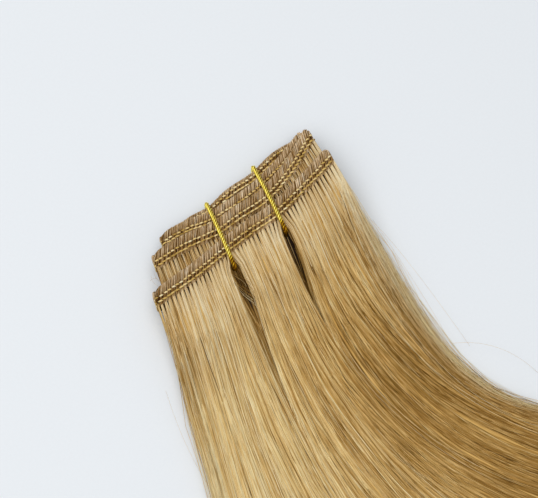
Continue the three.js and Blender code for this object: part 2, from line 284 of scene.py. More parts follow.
class HairFlow:
    """The plan of the hair: flow lines that leave the front band and sweep out over the table."""

    ACROSS_LIMIT = 1.2
    ACROSS_STEPS = 240
    ALONG_STEP = 1.0
    ALONG_LIMIT = 268.0

    def __init__(self) -> None:
        """Follows each flow line from the front band to the tips and keeps the points."""
        self.across = np.linspace(-self.ACROSS_LIMIT, self.ACROSS_LIMIT, self.ACROSS_STEPS + 1)
        self.along = np.arange(0.0, self.ALONG_LIMIT, self.ALONG_STEP)
        half = (ROW_X[Row.FRONT][-1] - ROW_X[Row.FRONT][0]) / 2
        start_x = ROW_X[Row.FRONT][0] + half * (self.across + 1)
        self.half_span = half
        self.start = np.stack((start_x, row_y(Row.FRONT, start_x)), axis=1)
        self.start_heading = self.heading(self.across, np.zeros_like(self.across))
        middles = self.along[:-1] + self.ALONG_STEP / 2
        grid = np.meshgrid(self.across, middles, indexing="ij")
        turned = self.heading(*grid)
        steps = self.ALONG_STEP * np.stack((np.cos(turned), np.sin(turned)), axis=2)
        run = np.concatenate((np.zeros_like(steps[:, :1]), np.cumsum(steps, axis=1)), axis=1)
        self.points = self.start[:, None, :] + run
        self.row_starts = {row: self.meet(self.across, partial(row_y, row)) for row in ROWS}

    def heading(self, across: Array, along: Array) -> Array:
        """Gives the direction of the hair in radians.

        Args:
            across: Shares across the bundle, from the left edge at -1 to the right edge at 1.
            along: Distances from the front band.

        Returns:
            The headings, in the shape of the inputs.
        """
        places = list(FLOW_HEADING)
        columns = np.stack([np.interp(along, places, column) for column in zip(*FLOW_HEADING.values())])
        knots = np.array(FLOW_ACROSS)
        held = np.clip(across, -1.0, 1.0)
        i = np.clip(np.searchsorted(knots, held, side="right") - 1, 0, len(knots) - 2)
        t = (held - knots[i]) / (knots[i + 1] - knots[i])
        low = np.take_along_axis(columns, i[None], axis=0)[0]
        high = np.take_along_axis(columns, i[None] + 1, axis=0)[0]
        return np.radians(mix(low, high, t))

    def point(self, across: Array, along: Array) -> Array:
        """Gives plan points on the flow lines, which run straight back where along is below zero.

        Args:
            across: Shares across the bundle.
            along: Distances from the front band.

        Returns:
            The points, with x and y on a new last axis.
        """
        step = self.across[1] - self.across[0]
        column = np.clip((across - self.across[0]) / step, 0, len(self.across) - 1.001)
        i = column.astype(int)
        s = (column - i)[..., None]
        station = np.clip(along / self.ALONG_STEP, 0, len(self.along) - 1.001)
        j = station.astype(int)
        t = (station - j)[..., None]
        near = mix(self.points[i, j], self.points[i, j + 1], t)
        far = mix(self.points[i + 1, j], self.points[i + 1, j + 1], t)
        flow = np.interp(across, self.across, self.start_heading)
        back = np.minimum(along, 0.0)
        straight = np.stack((back * np.cos(flow), back * np.sin(flow)), axis=-1)
        return mix(near, far, s) + straight

    def meet(self, across: Array, edge: Callable[[Array], Array]) -> Array:
        """Finds where flow lines meet a lower edge, by halving.

        Args:
            across: Shares across the bundle.
            edge: Gives the y of the edge in plan from x.

        Returns:
            The distances from the front band.
        """
        near = np.full_like(across, MEET_NEAR)
        far = np.full_like(across, MEET_FAR)
        for _ in range(HALVINGS):
            middle = (near + far) / 2
            place = self.point(across, middle)
            below = place[:, 1] < edge(place[:, 0])
            near = np.where(below, middle, near)
            far = np.where(below, far, middle)
        return near

    def row_along(self, row: Row, across: Array) -> Array:
        """Gives the distance along the flow at which a row's lower edge is met."""
        return np.interp(across, self.across, self.row_starts[row])

    def aside(self, across: Array, along: Array, distance: Array) -> Array:
        """Gives a plan move to the side of the flow, by a distance in millimetres at each place."""
        heading = self.heading(across, along)
        return np.stack((-np.sin(heading), np.cos(heading)), axis=-1) * distance[..., None]


def heap_floor(along: Array) -> Array:
    """Gives the height of the floor under the hair."""
    return np.interp(along, FLOOR_ALONG, FLOOR_HEIGHT)


def heap_top(row: Row, across: Array, along: Array) -> Array:
    """Gives the height of the top of a row's hair over the table, in millimetres."""
    edge = 1 - EDGE_DROP * ease(along / EDGE_DROP_OVER) * np.abs(np.clip(across, -1, 1)) ** 4
    return heap_floor(along) + np.interp(along, HEAP_ALONG, HEAP_HEIGHT[row]) * edge


def layer_height(layer: int) -> float:
    """Gives the middle height of a layer of the strip, counted down from the front row."""
    return SIZES.stack_floor + SIZES.strip_thick / 2 + (SIZES.layers - 1 - layer) * SIZES.layer_pitch


# Making meshes


def finish_object(name: str, mesh: Mesh) -> Piece:
    """Links a mesh to the scene as a new object at the origin."""
    piece = bpy.data.objects.new(name, mesh)
    bpy.context.scene.collection.objects.link(piece)
    return piece


def mesh_from_faces(name: str, points: Array, quads: Array, triangles: Array) -> Mesh:
    """Makes a smooth mesh from arrays of points and faces.

    Args:
        name: The mesh's name.
        points: Corner points in metres, one a row.
        quads: Point indices of the four-sided faces.
        triangles: Point indices of the three-sided faces.

    Returns:
        The mesh, with its four-sided faces first.
    """
    mesh = bpy.data.meshes.new(name)
    corners = np.concatenate((quads.ravel(), triangles.ravel())).astype(np.int32)
    starts = np.concatenate((np.arange(len(quads)) * 4, len(quads) * 4 + np.arange(len(triangles)) * 3))
    mesh.vertices.add(len(points))
    mesh.vertices.foreach_set("co", points.astype(np.float32).ravel())
    mesh.loops.add(len(corners))
    mesh.loops.foreach_set("vertex_index", corners)
    mesh.polygons.add(len(starts))
    mesh.polygons.foreach_set("loop_start", starts.astype(np.int32))
    mesh.polygons.foreach_set("use_smooth", np.ones(len(starts), dtype=bool))
    mesh.update(calc_edges=True)
    return mesh


def put_value(mesh: Mesh, name: str, values: Array) -> None:
    """Stores one number for each point of a mesh under a name that a material can read."""
    attribute = mesh.attributes.new(name, "FLOAT", "POINT")
    attribute.data.foreach_set("value", values.astype(np.float32).ravel())


def mesh_points(mesh: Mesh) -> Array:
    """Reads the points of a mesh, one a row."""
    flat = np.empty(len(mesh.vertices) * 3)
    mesh.vertices.foreach_get("co", flat)
    return flat.reshape(-1, 3)


def deselect() -> None:
    """Deselects every object, so that an operator acts on new pieces alone."""
    bpy.ops.object.select_all(action="DESELECT")


def edit_all() -> None:
    """Opens the active piece in edit mode with everything in it selected."""
    bpy.ops.object.mode_set(mode="EDIT")
    bpy.ops.mesh.select_all(action="SELECT")


def close_surface(smooth_up_to: float) -> None:
    """Turns the active piece's faces outward and smooths its edges up to an angle in degrees."""
    edit_all()
    bpy.ops.mesh.normals_make_consistent(inside=False)
    bpy.ops.object.mode_set(mode="OBJECT")
    bpy.ops.object.shade_smooth_by_angle(angle=math.radians(smooth_up_to))


def join_pieces(pieces: list[Piece], name: str) -> Piece:
    """Joins pieces into the first of them.

    Args:
        pieces: The pieces to join.
        name: The joined piece's name.

    Returns:
        The joined piece.
    """
    deselect()
    for piece in pieces:
        piece.select_set(True)
    bpy.context.view_layer.objects.active = pieces[0]
    if len(pieces) > 1:
        bpy.ops.object.join()
    pieces[0].name = name
    pieces[0].data.name = name
    return pieces[0]


def shaped_grid(
    name: str, columns: int, rows: int, place: Shaper, shade: Shaper, open_ends: bool
) -> Piece:
    """Models a tube-like piece from a grid that is rolled up and merged along its seams.

    Args:
        name: The piece's name.
        columns: Faces in the grid's first direction.
        rows: Faces in its second direction.
        place: Gives points in metres from shares in the two directions.
        shade: Gives the piece's shade attribute from the same shares.
        open_ends: Whether the rolled grid has two open ends to fill.

    Returns:
        The closed piece, at the origin, with its flow map.
    """
    deselect()
    bpy.ops.mesh.primitive_grid_add(x_subdivisions=columns, y_subdivisions=rows, size=1)
    piece = bpy.context.active_object
    piece.name = name
    piece.data.name = name
    piece.data.uv_layers[0].name = FLOW_MAP
    shares = mesh_points(piece.data)[:, :2] + 0.5
    piece.data.vertices.foreach_set("co", place(shares[:, 0], shares[:, 1]).ravel())
    put_value(piece.data, "shade", shade(shares[:, 0], shares[:, 1]))
    edit_all()
    bpy.ops.mesh.remove_doubles(threshold=SEAM_MERGE)
    if open_ends:
        bpy.ops.mesh.select_all(action="DESELECT")
        bpy.ops.mesh.select_mode(type="EDGE")
        bpy.ops.mesh.select_non_manifold(extend=False)
        bpy.ops.mesh.edge_face_add()
    close_surface(smooth_up_to=60)
    return piece


@dataclass
class Strands:
    """A batch of single hairs: their routes and radii in millimetres, and their tone from dark to light."""

    route: Array
    radius: Array
    tone: Array
    sideways: Array | None = None
    ashen: Array | None = None

    SIDES = 3
    TWIST_SEED = 5
    # The distance, in millimetres, that keeps the streaks of one hair apart from those of the next.
    APART = 61.7
    # Shares of a hair's cell in its map: across one side, up the sides, and across and up the two caps.
    SIDE_ACROSS = (0.15, 0.15, 0.85, 0.85)
    SIDES_FROM = 0.08
    SIDES_RUN = 0.84
    CAP_ACROSS = (0.2, 0.8, 0.5)
    CAP_UP = ((0.01, 0.01, 0.06), (0.94, 0.94, 0.99))

    def piece(self, name: str) -> Piece:
        """Joins the hairs into one piece of closed, tapered, three-sided tubes.

        Args:
            name: The piece's name.

        Returns:
            The piece, with what its finish reads at each point and a map that gives each hair its own cell.
        """
        count, stations, _ = self.route.shape
        run = np.gradient(self.route, axis=1)
        run /= np.linalg.norm(run, axis=2, keepdims=True) + 1e-12
        if self.sideways is None:
            side = np.cross(run, UPWARD)
        else:
            side = np.broadcast_to(self.sideways[:, None, :], run.shape)
        side = side / (np.linalg.norm(side, axis=2, keepdims=True) + 1e-12)
        lift = np.cross(side, run)
        twist = vary(np.arange(count), self.TWIST_SEED)[:, None]
        turn = 2 * np.pi * (np.arange(self.SIDES)[None, :] / self.SIDES + twist)
        wide = np.cos(turn)[:, None, :, None] * side[:, :, None, :]
        tall = np.sin(turn)[:, None, :, None] * lift[:, :, None, :]
        points = self.route[:, :, None, :] + self.radius[:, :, None, None] * (wide + tall)
        index = np.arange(count * stations * self.SIDES).reshape(count, stations, self.SIDES)
        beside = np.roll(index, -1, axis=2)
        quads = np.stack((index[:, :-1], index[:, 1:], beside[:, 1:], beside[:, :-1]), axis=-1)
        caps = np.stack((index[:, 0], index[:, -1, ::-1]), axis=1)
        corners = in_frame(points.reshape(-1, 3))
        mesh = mesh_from_faces(name, corners, quads.reshape(-1, 4), caps.reshape(-1, 3))
        steps = np.linalg.norm(np.diff(self.route, axis=1), axis=2)
        length = np.concatenate((np.zeros((count, 1)), np.cumsum(steps, axis=1)), axis=1)
        length = length + np.arange(count)[:, None] * self.APART
        ashen = np.zeros((count, stations)) if self.ashen is None else self.ashen
        for label, values in (("tone", self.tone), ("ashen", ashen), ("run", length)):
            put_value(mesh, label, np.broadcast_to(values[..., None], (count, stations, self.SIDES)))
        self._map_cells(mesh, count, stations)
        return finish_object(name, mesh)

    def _map_cells(self, mesh: Mesh, count: int, stations: int) -> None:
        """Lays each hair out in its own cell of a map, one strip of the cell for each side."""
        across = max(1, math.ceil(math.sqrt(count * 2)))
        down = math.ceil(count / across)
        column = (np.arange(count) % across)[:, None, None, None]
        line = (np.arange(count) // across)[:, None, None, None]
        strip = np.arange(self.SIDES)[None, None, :, None] + np.array(self.SIDE_ACROSS)
        step = np.arange(stations - 1)[None, :, None, None] + np.array((0, 1, 1, 0))
        u = (column + strip / self.SIDES) / across
        v = (line + self.SIDES_FROM + self.SIDES_RUN * step / (stations - 1)) / down
        sides = np.stack(np.broadcast_arrays(u, v), axis=-1).reshape(-1, 2)
        cap_u = (column[..., 0] + np.array(self.CAP_ACROSS)) / across + np.zeros((1, 2, 1))
        cap_v = (line[..., 0] + np.array(self.CAP_UP)) / down
        caps = np.stack((cap_u, cap_v), axis=-1).reshape(-1, 2)
        layer = mesh.uv_layers.new(name=BAKE_MAP)
        layer.data.foreach_set("uv", np.concatenate((sides, caps)).astype(np.float32).ravel())


# Finishes


class Nodes:
    """A short way to write a node tree."""

    # The sockets of a Mix node that is set to colours.
    MIX_SHARE = 0
    MIX_FIRST = 6
    MIX_SECOND = 7
    MIX_RESULT = 2

    def __init__(self, tree: Tree) -> None:
        """Keeps the tree that the nodes go into."""
        self.tree = tree

    def add(self, kind: str, values: dict[str, float] | None = None, **settings: object) -> Node:
        """Adds a node.

        Args:
            kind: The node's type name.
            values: Plain values of some of its inputs.
            settings: Properties of the node to set.

        Returns:
            The new node.
        """
        node = self.tree.nodes.new(kind)
        for name, value in settings.items():
            setattr(node, name, value)
        for name, value in (values or {}).items():
            node.inputs[name].default_value = value
        return node

    def join(self, source: Socket, target: Socket) -> None:
        """Links one socket to another."""
        self.tree.links.new(source, target)

    def point_value(self, name: str) -> Socket:
        """Reads a number that a piece carries at its points."""
        return self.add("ShaderNodeAttribute", attribute_name=name).outputs["Fac"]

    def math(self, operation: str, first: object, second: object) -> Socket:
        """Adds a sum of two values.

        Args:
            operation: The kind of sum.
            first: A socket or a number.
            second: Another socket or number.

        Returns:
            The socket of the result.
        """
        node = self.add("ShaderNodeMath", operation=operation)
        for socket, value in zip(node.inputs, (first, second)):
            if isinstance(value, Socket):
                self.join(value, socket)
            else:
                socket.default_value = value
        return node.outputs[0]

    def ramp(self, value: Socket, stops: list[tuple[float, Colour]]) -> Socket:
        """Turns a value into a colour through a ramp.

        Args:
            value: The socket to read.
            stops: The place and colour of each stop.

        Returns:
            The colour socket.
        """
        node = self.add("ShaderNodeValToRGB")
        points = node.color_ramp.elements
        while len(points) < len(stops):
            points.new(0.5)
        for point, (place, colour) in zip(points, stops):
            point.position = place
            point.color = (*colour, 1.0)
        self.join(value, node.inputs[0])
        return node.outputs[0]

    def spread(self, value: Socket, low: float, high: float) -> Socket:
        """Maps a value from 0 to 1 onto a range."""
        node = self.add("ShaderNodeMapRange", {"To Min": low, "To Max": high})
        self.join(value, node.inputs["Value"])
        return node.outputs[0]

    def relief(self, height: Socket, strength: float, depth: float, shader: Node) -> None:
        """Raises a relief on a shader.

        Args:
            height: The socket that holds the height.
            strength: How strong the relief is, from 0 to 1.
            depth: Its depth in millimetres.
            shader: The shader that takes it.
        """
        bump = self.add("ShaderNodeBump", {"Strength": strength, "Distance": depth * MM})
        self.join(height, bump.inputs["Height"])
        self.join(bump.outputs[0], shader.inputs["Normal"])


def new_group(name: str, inputs: dict[str, str], outputs: dict[str, str]) -> tuple[Nodes, Node, Node]:
    """Starts a shader node group with named sockets.

    Args:
        name: The group's name.
        inputs: Input names and socket types.
        outputs: Output names and socket types.

    Returns:
        The group's nodes, the node that its inputs come from and the one that its outputs go to.
    """
    tree = bpy.data.node_groups.new(name, "ShaderNodeTree")
    for label, kind in inputs.items():
        tree.interface.new_socket(label, in_out="INPUT", socket_type=kind)
    for label, kind in outputs.items():
        tree.interface.new_socket(label, in_out="OUTPUT", socket_type=kind)
    nodes = Nodes(tree)
    return nodes, nodes.add("NodeGroupInput"), nodes.add("NodeGroupOutput")


class SharedEffects:
    """The node groups that more than one finish uses."""

    FLOAT = "NodeSocketFloat"
    VECTOR = "NodeSocketVector"

    def __init__(self) -> None:
        """Builds each group once."""
        self.strand_lines = self._strand_lines()
        self.drift = self._drift()
        self.streaks = self._streaks()

    def _strand_lines(self) -> Tree:
        """Builds fine lines along the hair, as a mask and a height, from a flow map in millimetres."""
        nodes, source, result = new_group(
            "strand lines",
            {"Flow": self.VECTOR, "Lines": self.FLOAT, "Drawn Out": self.FLOAT},
            {"Mask": self.FLOAT, "Height": self.FLOAT},
        )
        split = nodes.add("ShaderNodeSeparateXYZ")
        nodes.join(source.outputs["Flow"], split.inputs[0])
        packed = nodes.add("ShaderNodeCombineXYZ")
        for i, rate in enumerate(("Lines", "Drawn Out")):
            nodes.join(nodes.math("MULTIPLY", split.outputs[i], source.outputs[rate]), packed.inputs[i])
        look = {"Scale": 1.0, "Detail": 3.0, "Roughness": 0.6}
        fine = nodes.add("ShaderNodeTexNoise", look, noise_dimensions="2D")
        nodes.join(packed.outputs[0], fine.inputs["Vector"])
        edges = {"From Min": 0.34, "From Max": 0.66}
        sharp = nodes.add("ShaderNodeMapRange", edges, interpolation_type="SMOOTHSTEP")
        nodes.join(fine.outputs[0], sharp.inputs["Value"])
        nodes.join(sharp.outputs[0], result.inputs["Mask"])
        nodes.join(fine.outputs[0], result.inputs["Height"])
        return nodes.tree

    def _drift(self) -> Tree:
        """Builds a slow drift of tone over the object, added to the tone that each hair carries."""
        nodes, source, result = new_group(
            "tone drift",
            {"Tone": self.FLOAT, "Scale": self.FLOAT, "Amount": self.FLOAT},
            {"Tone": self.FLOAT},
        )
        where = nodes.add("ShaderNodeTexCoord")
        cloud = nodes.add("ShaderNodeTexNoise", {"Detail": 2.0})
        nodes.join(where.outputs["Object"], cloud.inputs["Vector"])
        nodes.join(source.outputs["Scale"], cloud.inputs["Scale"])
        return self._swung(nodes, source, result, cloud.outputs[0])

    def _streaks(self) -> Tree:
        """Builds short lighter and darker stretches along each hair, from its distance along the hair."""
        nodes, source, result = new_group(
            "tone streaks",
            {"Tone": self.FLOAT, "Run": self.FLOAT, "Each Millimetre": self.FLOAT, "Amount": self.FLOAT},
            {"Tone": self.FLOAT},
        )
        wave = nodes.add("ShaderNodeTexNoise", {"Detail": 2.0}, noise_dimensions="1D")
        nodes.join(source.outputs["Run"], wave.inputs["W"])
        nodes.join(source.outputs["Each Millimetre"], wave.inputs["Scale"])
        return self._swung(nodes, source, result, wave.outputs[0])

    @staticmethod
    def _swung(nodes: Nodes, source: Node, result: Node, noise: Socket) -> Tree:
        """Adds a noise to a group's tone, about the noise's middle, and gives the finished group."""
        swing = nodes.math("SUBTRACT", noise, 0.5)
        scaled = nodes.math("MULTIPLY", swing, source.outputs["Amount"])
        nodes.join(nodes.math("ADD", source.outputs["Tone"], scaled), result.inputs["Tone"])
        return nodes.tree

    def lines_on(self, nodes: Nodes, lines: float, drawn_out: float) -> Node:
        """Adds the strand lines to a material, from its piece's flow map.

        Args:
            nodes: The material's nodes.
            lines: How closely the lines lie.
            drawn_out: How fast they change along the flow.

        Returns:
            The group's node.
        """
        rates = {"Lines": lines, "Drawn Out": drawn_out}
        group = nodes.add("ShaderNodeGroup", node_tree=self.strand_lines, values=rates)
        flow = nodes.add("ShaderNodeUVMap", uv_map=FLOW_MAP)
        nodes.join(flow.outputs[0], group.inputs["Flow"])
        return group

    def drifted(self, nodes: Nodes, tone: Socket, scale: float, amount: float) -> Socket:
        """Adds the slow drift to a material's tone.

        Args:
            nodes: The material's nodes.
            tone: The tone to add it to.
            scale: How closely the drift changes.
            amount: How strong it is.

        Returns:
            The drifted tone.
        """
        rates = {"Scale": scale, "Amount": amount}
        group = nodes.add("ShaderNodeGroup", node_tree=self.drift, values=rates)
        nodes.join(tone, group.inputs["Tone"])
        return group.outputs[0]


def new_material(name: str) -> tuple[Material, Nodes, Node]:
    """Starts a node material.

    Args:
        name: The material's name.

    Returns:
        The material, its nodes and its Principled shader.
    """
    material = bpy.data.materials.new(name)
    material.use_nodes = True
    shader = material.node_tree.nodes["Principled BSDF"]
    return material, Nodes(material.node_tree), shader


@dataclass(frozen=True)
class HairFinish:
    """Smooth blonde hair: the tone that each strand carries, with its painted light and shade, drifting
    slowly along it, with a soft gloss.
    """

    name: str
    deep: Colour
    dark: Colour
    middle: Colour
    light: Colour
    pale: Colour
    roughness: Pair = (0.5, 0.38)
    streaks_each_mm: float = 0.09
    streak_amount: float = 0.65
    drift_scale: float = 70.0
    drift_amount: float = 0.15
    gloss: float = 0.22
    gloss_shares: Pair = (0.3, 1.15)
    gloss_tint: Colour = (1.0, 0.88, 0.66)
    ash: Colour = (0.965, 1.0, 1.19)

    def material(self, shared: SharedEffects) -> Material:
        """Makes the material from the tone that the strands carry, cooler where they are ashen.

        Args:
            shared: The node groups to use.

        Returns:
            The material.
        """
        material, nodes, shader = new_material(self.name)
        rates = {"Each Millimetre": self.streaks_each_mm, "Amount": self.streak_amount}
        streaks = nodes.add("ShaderNodeGroup", node_tree=shared.streaks, values=rates)
        nodes.join(nodes.point_value("tone"), streaks.inputs["Tone"])
        nodes.join(nodes.point_value("run"), streaks.inputs["Run"])
        tone = shared.drifted(nodes, streaks.outputs[0], self.drift_scale, self.drift_amount)
        colours = (self.deep, self.dark, self.middle, self.light, self.pale)
        stops = list(zip((0.0, 0.25, 0.5, 0.75, 1.0), colours))
        cooled = nodes.add("ShaderNodeMix", data_type="RGBA", blend_type="MULTIPLY")
        nodes.join(nodes.point_value("ashen"), cooled.inputs[nodes.MIX_SHARE])
        nodes.join(nodes.ramp(tone, stops), cooled.inputs[nodes.MIX_FIRST])
        cooled.inputs[nodes.MIX_SECOND].default_value = (*self.ash, 1.0)
        nodes.join(cooled.outputs[nodes.MIX_RESULT], shader.inputs["Base Color"])
        nodes.join(nodes.spread(tone, *self.roughness), shader.inputs["Roughness"])
        low, high = self.gloss_shares
        shine = nodes.spread(tone, low * self.gloss, high * self.gloss)
        nodes.join(shine, shader.inputs["Specular IOR Level"])
        shader.inputs["Specular Tint"].default_value = (*self.gloss_tint, 1.0)
        return material


@dataclass(frozen=True)
class LinedFinish:
    """Packed hair seen as a surface: fine dark and light lines along the hair, with relief."""

    name: str
    gap: Colour
    dark: Colour
    middle: Colour
    light: Colour
    lines: float
    drawn_out: float
    relief: float
    relief_strength: float = 0.8
    darkest_line: float = 0.3
    drift_scale: float = 90.0
    drift_amount: float = 0.4
    roughness: Pair = (0.75, 0.5)
    gloss: float = 0.12

    def material(self, shared: SharedEffects) -> Material:
        """Makes the material from the piece's own flow map and its shade.

        Args:
            shared: The node groups to use.

        Returns:
            The material.
        """
        material, nodes, shader = new_material(self.name)
        lines = shared.lines_on(nodes, self.lines, self.drawn_out)
        lined = nodes.spread(lines.outputs["Mask"], self.darkest_line, 1.0)
        lit = nodes.math("SUBTRACT", lined, nodes.point_value("shade"))
        tone = shared.drifted(nodes, lit, self.drift_scale, self.drift_amount)
        stops = [(0.0, self.gap), (0.25, self.dark), (0.6, self.middle), (1.0, self.light)]
        nodes.join(nodes.ramp(tone, stops), shader.inputs["Base Color"])
        nodes.join(nodes.spread(lines.outputs["Mask"], *self.roughness), shader.inputs["Roughness"])
        shader.inputs["Specular IOR Level"].default_value = self.gloss
        nodes.relief(lines.outputs["Height"], self.relief_strength, self.relief, shader)
        return material


@dataclass(frozen=True)
class GoldFinish:
    """Metallic gold thread wound round elastic: bright filaments with amber shadow between them."""

    name: str
    amber: Colour
    gold: Colour
    lemon: Colour
    filaments: float
    drawn_out: float = 9.0
    filament_light: float = 0.35
    crown_light: float = 0.75
    drift_scale: float = 700.0
    drift_amount: float = 0.5
    roughness: Pair = (0.45, 0.26)
    metal: float = 0.95
    relief: float = 0.06
    relief_strength: float = 0.6

    def material(self, shared: SharedEffects) -> Material:
        """Makes the material from the flow map of a ply and the shade of its grooves.

        Args:
            shared: The node groups to use.

        Returns:
            The material.
        """
        material, nodes, shader = new_material(self.name)
        lines = shared.lines_on(nodes, self.filaments, self.drawn_out)
        thread = nodes.math("MULTIPLY", lines.outputs["Mask"], self.filament_light)
        # The crown of each ply is painted light, and the painted shade of the grooves and of the diving end
        # is taken from it.
        crown = nodes.math("SUBTRACT", self.crown_light, nodes.point_value("shade"))
        lit = nodes.math("ADD", thread, crown)
        tone = shared.drifted(nodes, lit, self.drift_scale, self.drift_amount)
        stops = [(0.0, self.amber), (0.45, self.gold), (1.0, self.lemon)]
        nodes.join(nodes.ramp(tone, stops), shader.inputs["Base Color"])
        nodes.join(nodes.spread(tone, *self.roughness), shader.inputs["Roughness"])
        shader.inputs["Metallic"].default_value = self.metal
        nodes.relief(lines.outputs["Height"], self.relief_strength, self.relief, shader)
        return material


@dataclass(frozen=True)
class TableFinish:
    """A plain pale table with a faint, fine tooth."""

    name: str
    pale: Colour
    paler: Colour
    tooth_scale: float = 900.0
    roughness: float = 0.6
    gloss: float = 0.25

    def material(self) -> Material:
        """Makes the material from Object coordinates."""
        material, nodes, shader = new_material(self.name)
        where = nodes.add("ShaderNodeTexCoord")
        tooth = nodes.add("ShaderNodeTexNoise", {"Scale": self.tooth_scale})
        nodes.join(where.outputs["Object"], tooth.inputs["Vector"])
        stops = [(0.0, self.pale), (1.0, self.paler)]
        nodes.join(nodes.ramp(tooth.outputs[0], stops), shader.inputs["Base Color"])
        shader.inputs["Roughness"].default_value = self.roughness
        shader.inputs["Specular IOR Level"].default_value = self.gloss
        return material


HAIR = HairFinish(
    name="blonde hair",
    deep=(0.12, 0.052, 0.008),
    dark=(0.415, 0.222, 0.048),
    middle=(0.69, 0.445, 0.155),
    light=(0.835, 0.63, 0.288),
    pale=(0.95, 0.82, 0.5),
)
BAND_HAIR = HairFinish(
    name="hair turned over the band",
    deep=(0.09, 0.034, 0.004),
    dark=(0.26, 0.13, 0.032),
    middle=(0.46, 0.29, 0.125),
    light=(0.68, 0.485, 0.28),
    pale=(0.97, 0.81, 0.58),
    streaks_each_mm=0.3,
    streak_amount=0.9,
    drift_amount=0.4,
    gloss=0.06,
)
STITCH = HairFinish(
    name="stitching thread",
    deep=(0.28, 0.165, 0.035),
    dark=(0.52, 0.33, 0.08),
    middle=(0.74, 0.51, 0.15),
    light=(0.93, 0.72, 0.33),
    pale=(1.0, 0.89, 0.57),
    roughness=(0.45, 0.32),
)
HAIR_CORE = LinedFinish(
    name="packed hair",
    gap=(0.034, 0.017, 0.008),
    dark=(0.29, 0.145, 0.03),
    middle=(0.53, 0.305, 0.08),
    light=(0.70, 0.45, 0.145),
    lines=2.2,
    drawn_out=0.03,
    relief=0.3,
)
BAND_BODY = LinedFinish(
    name="sewn band",
    gap=(0.035, 0.015, 0.004),
    dark=(0.135, 0.07, 0.02),
    middle=(0.28, 0.168, 0.062),
    light=(0.44, 0.29, 0.14),
    lines=2.0,
    drawn_out=0.25,
    relief=0.25,
)
GOLD = GoldFinish(
    name="gold thread",
    amber=(0.25, 0.095, 0.0),
    gold=(0.80, 0.55, 0.03),
    lemon=(1.0, 0.93, 0.22),
    filaments=1.6,
)
TABLE = TableFinish(name="pale table", pale=(0.80, 0.83, 0.86), paler=(0.83, 0.86, 0.89))


def hand_over(piece: Piece, finish: Material, node: str) -> None:
    """Dresses a piece and ties it to the frame.

    Args:
        piece: The finished piece.
        finish: Its material.
        node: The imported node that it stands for.
    """
    piece.data.materials.clear()
    piece.data.materials.append(finish)
    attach(piece, BODY)
    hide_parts(node)
    log.info("%s: %d faces for %s", piece.name, len(piece.data.polygons), node)


# Sub-assemblies


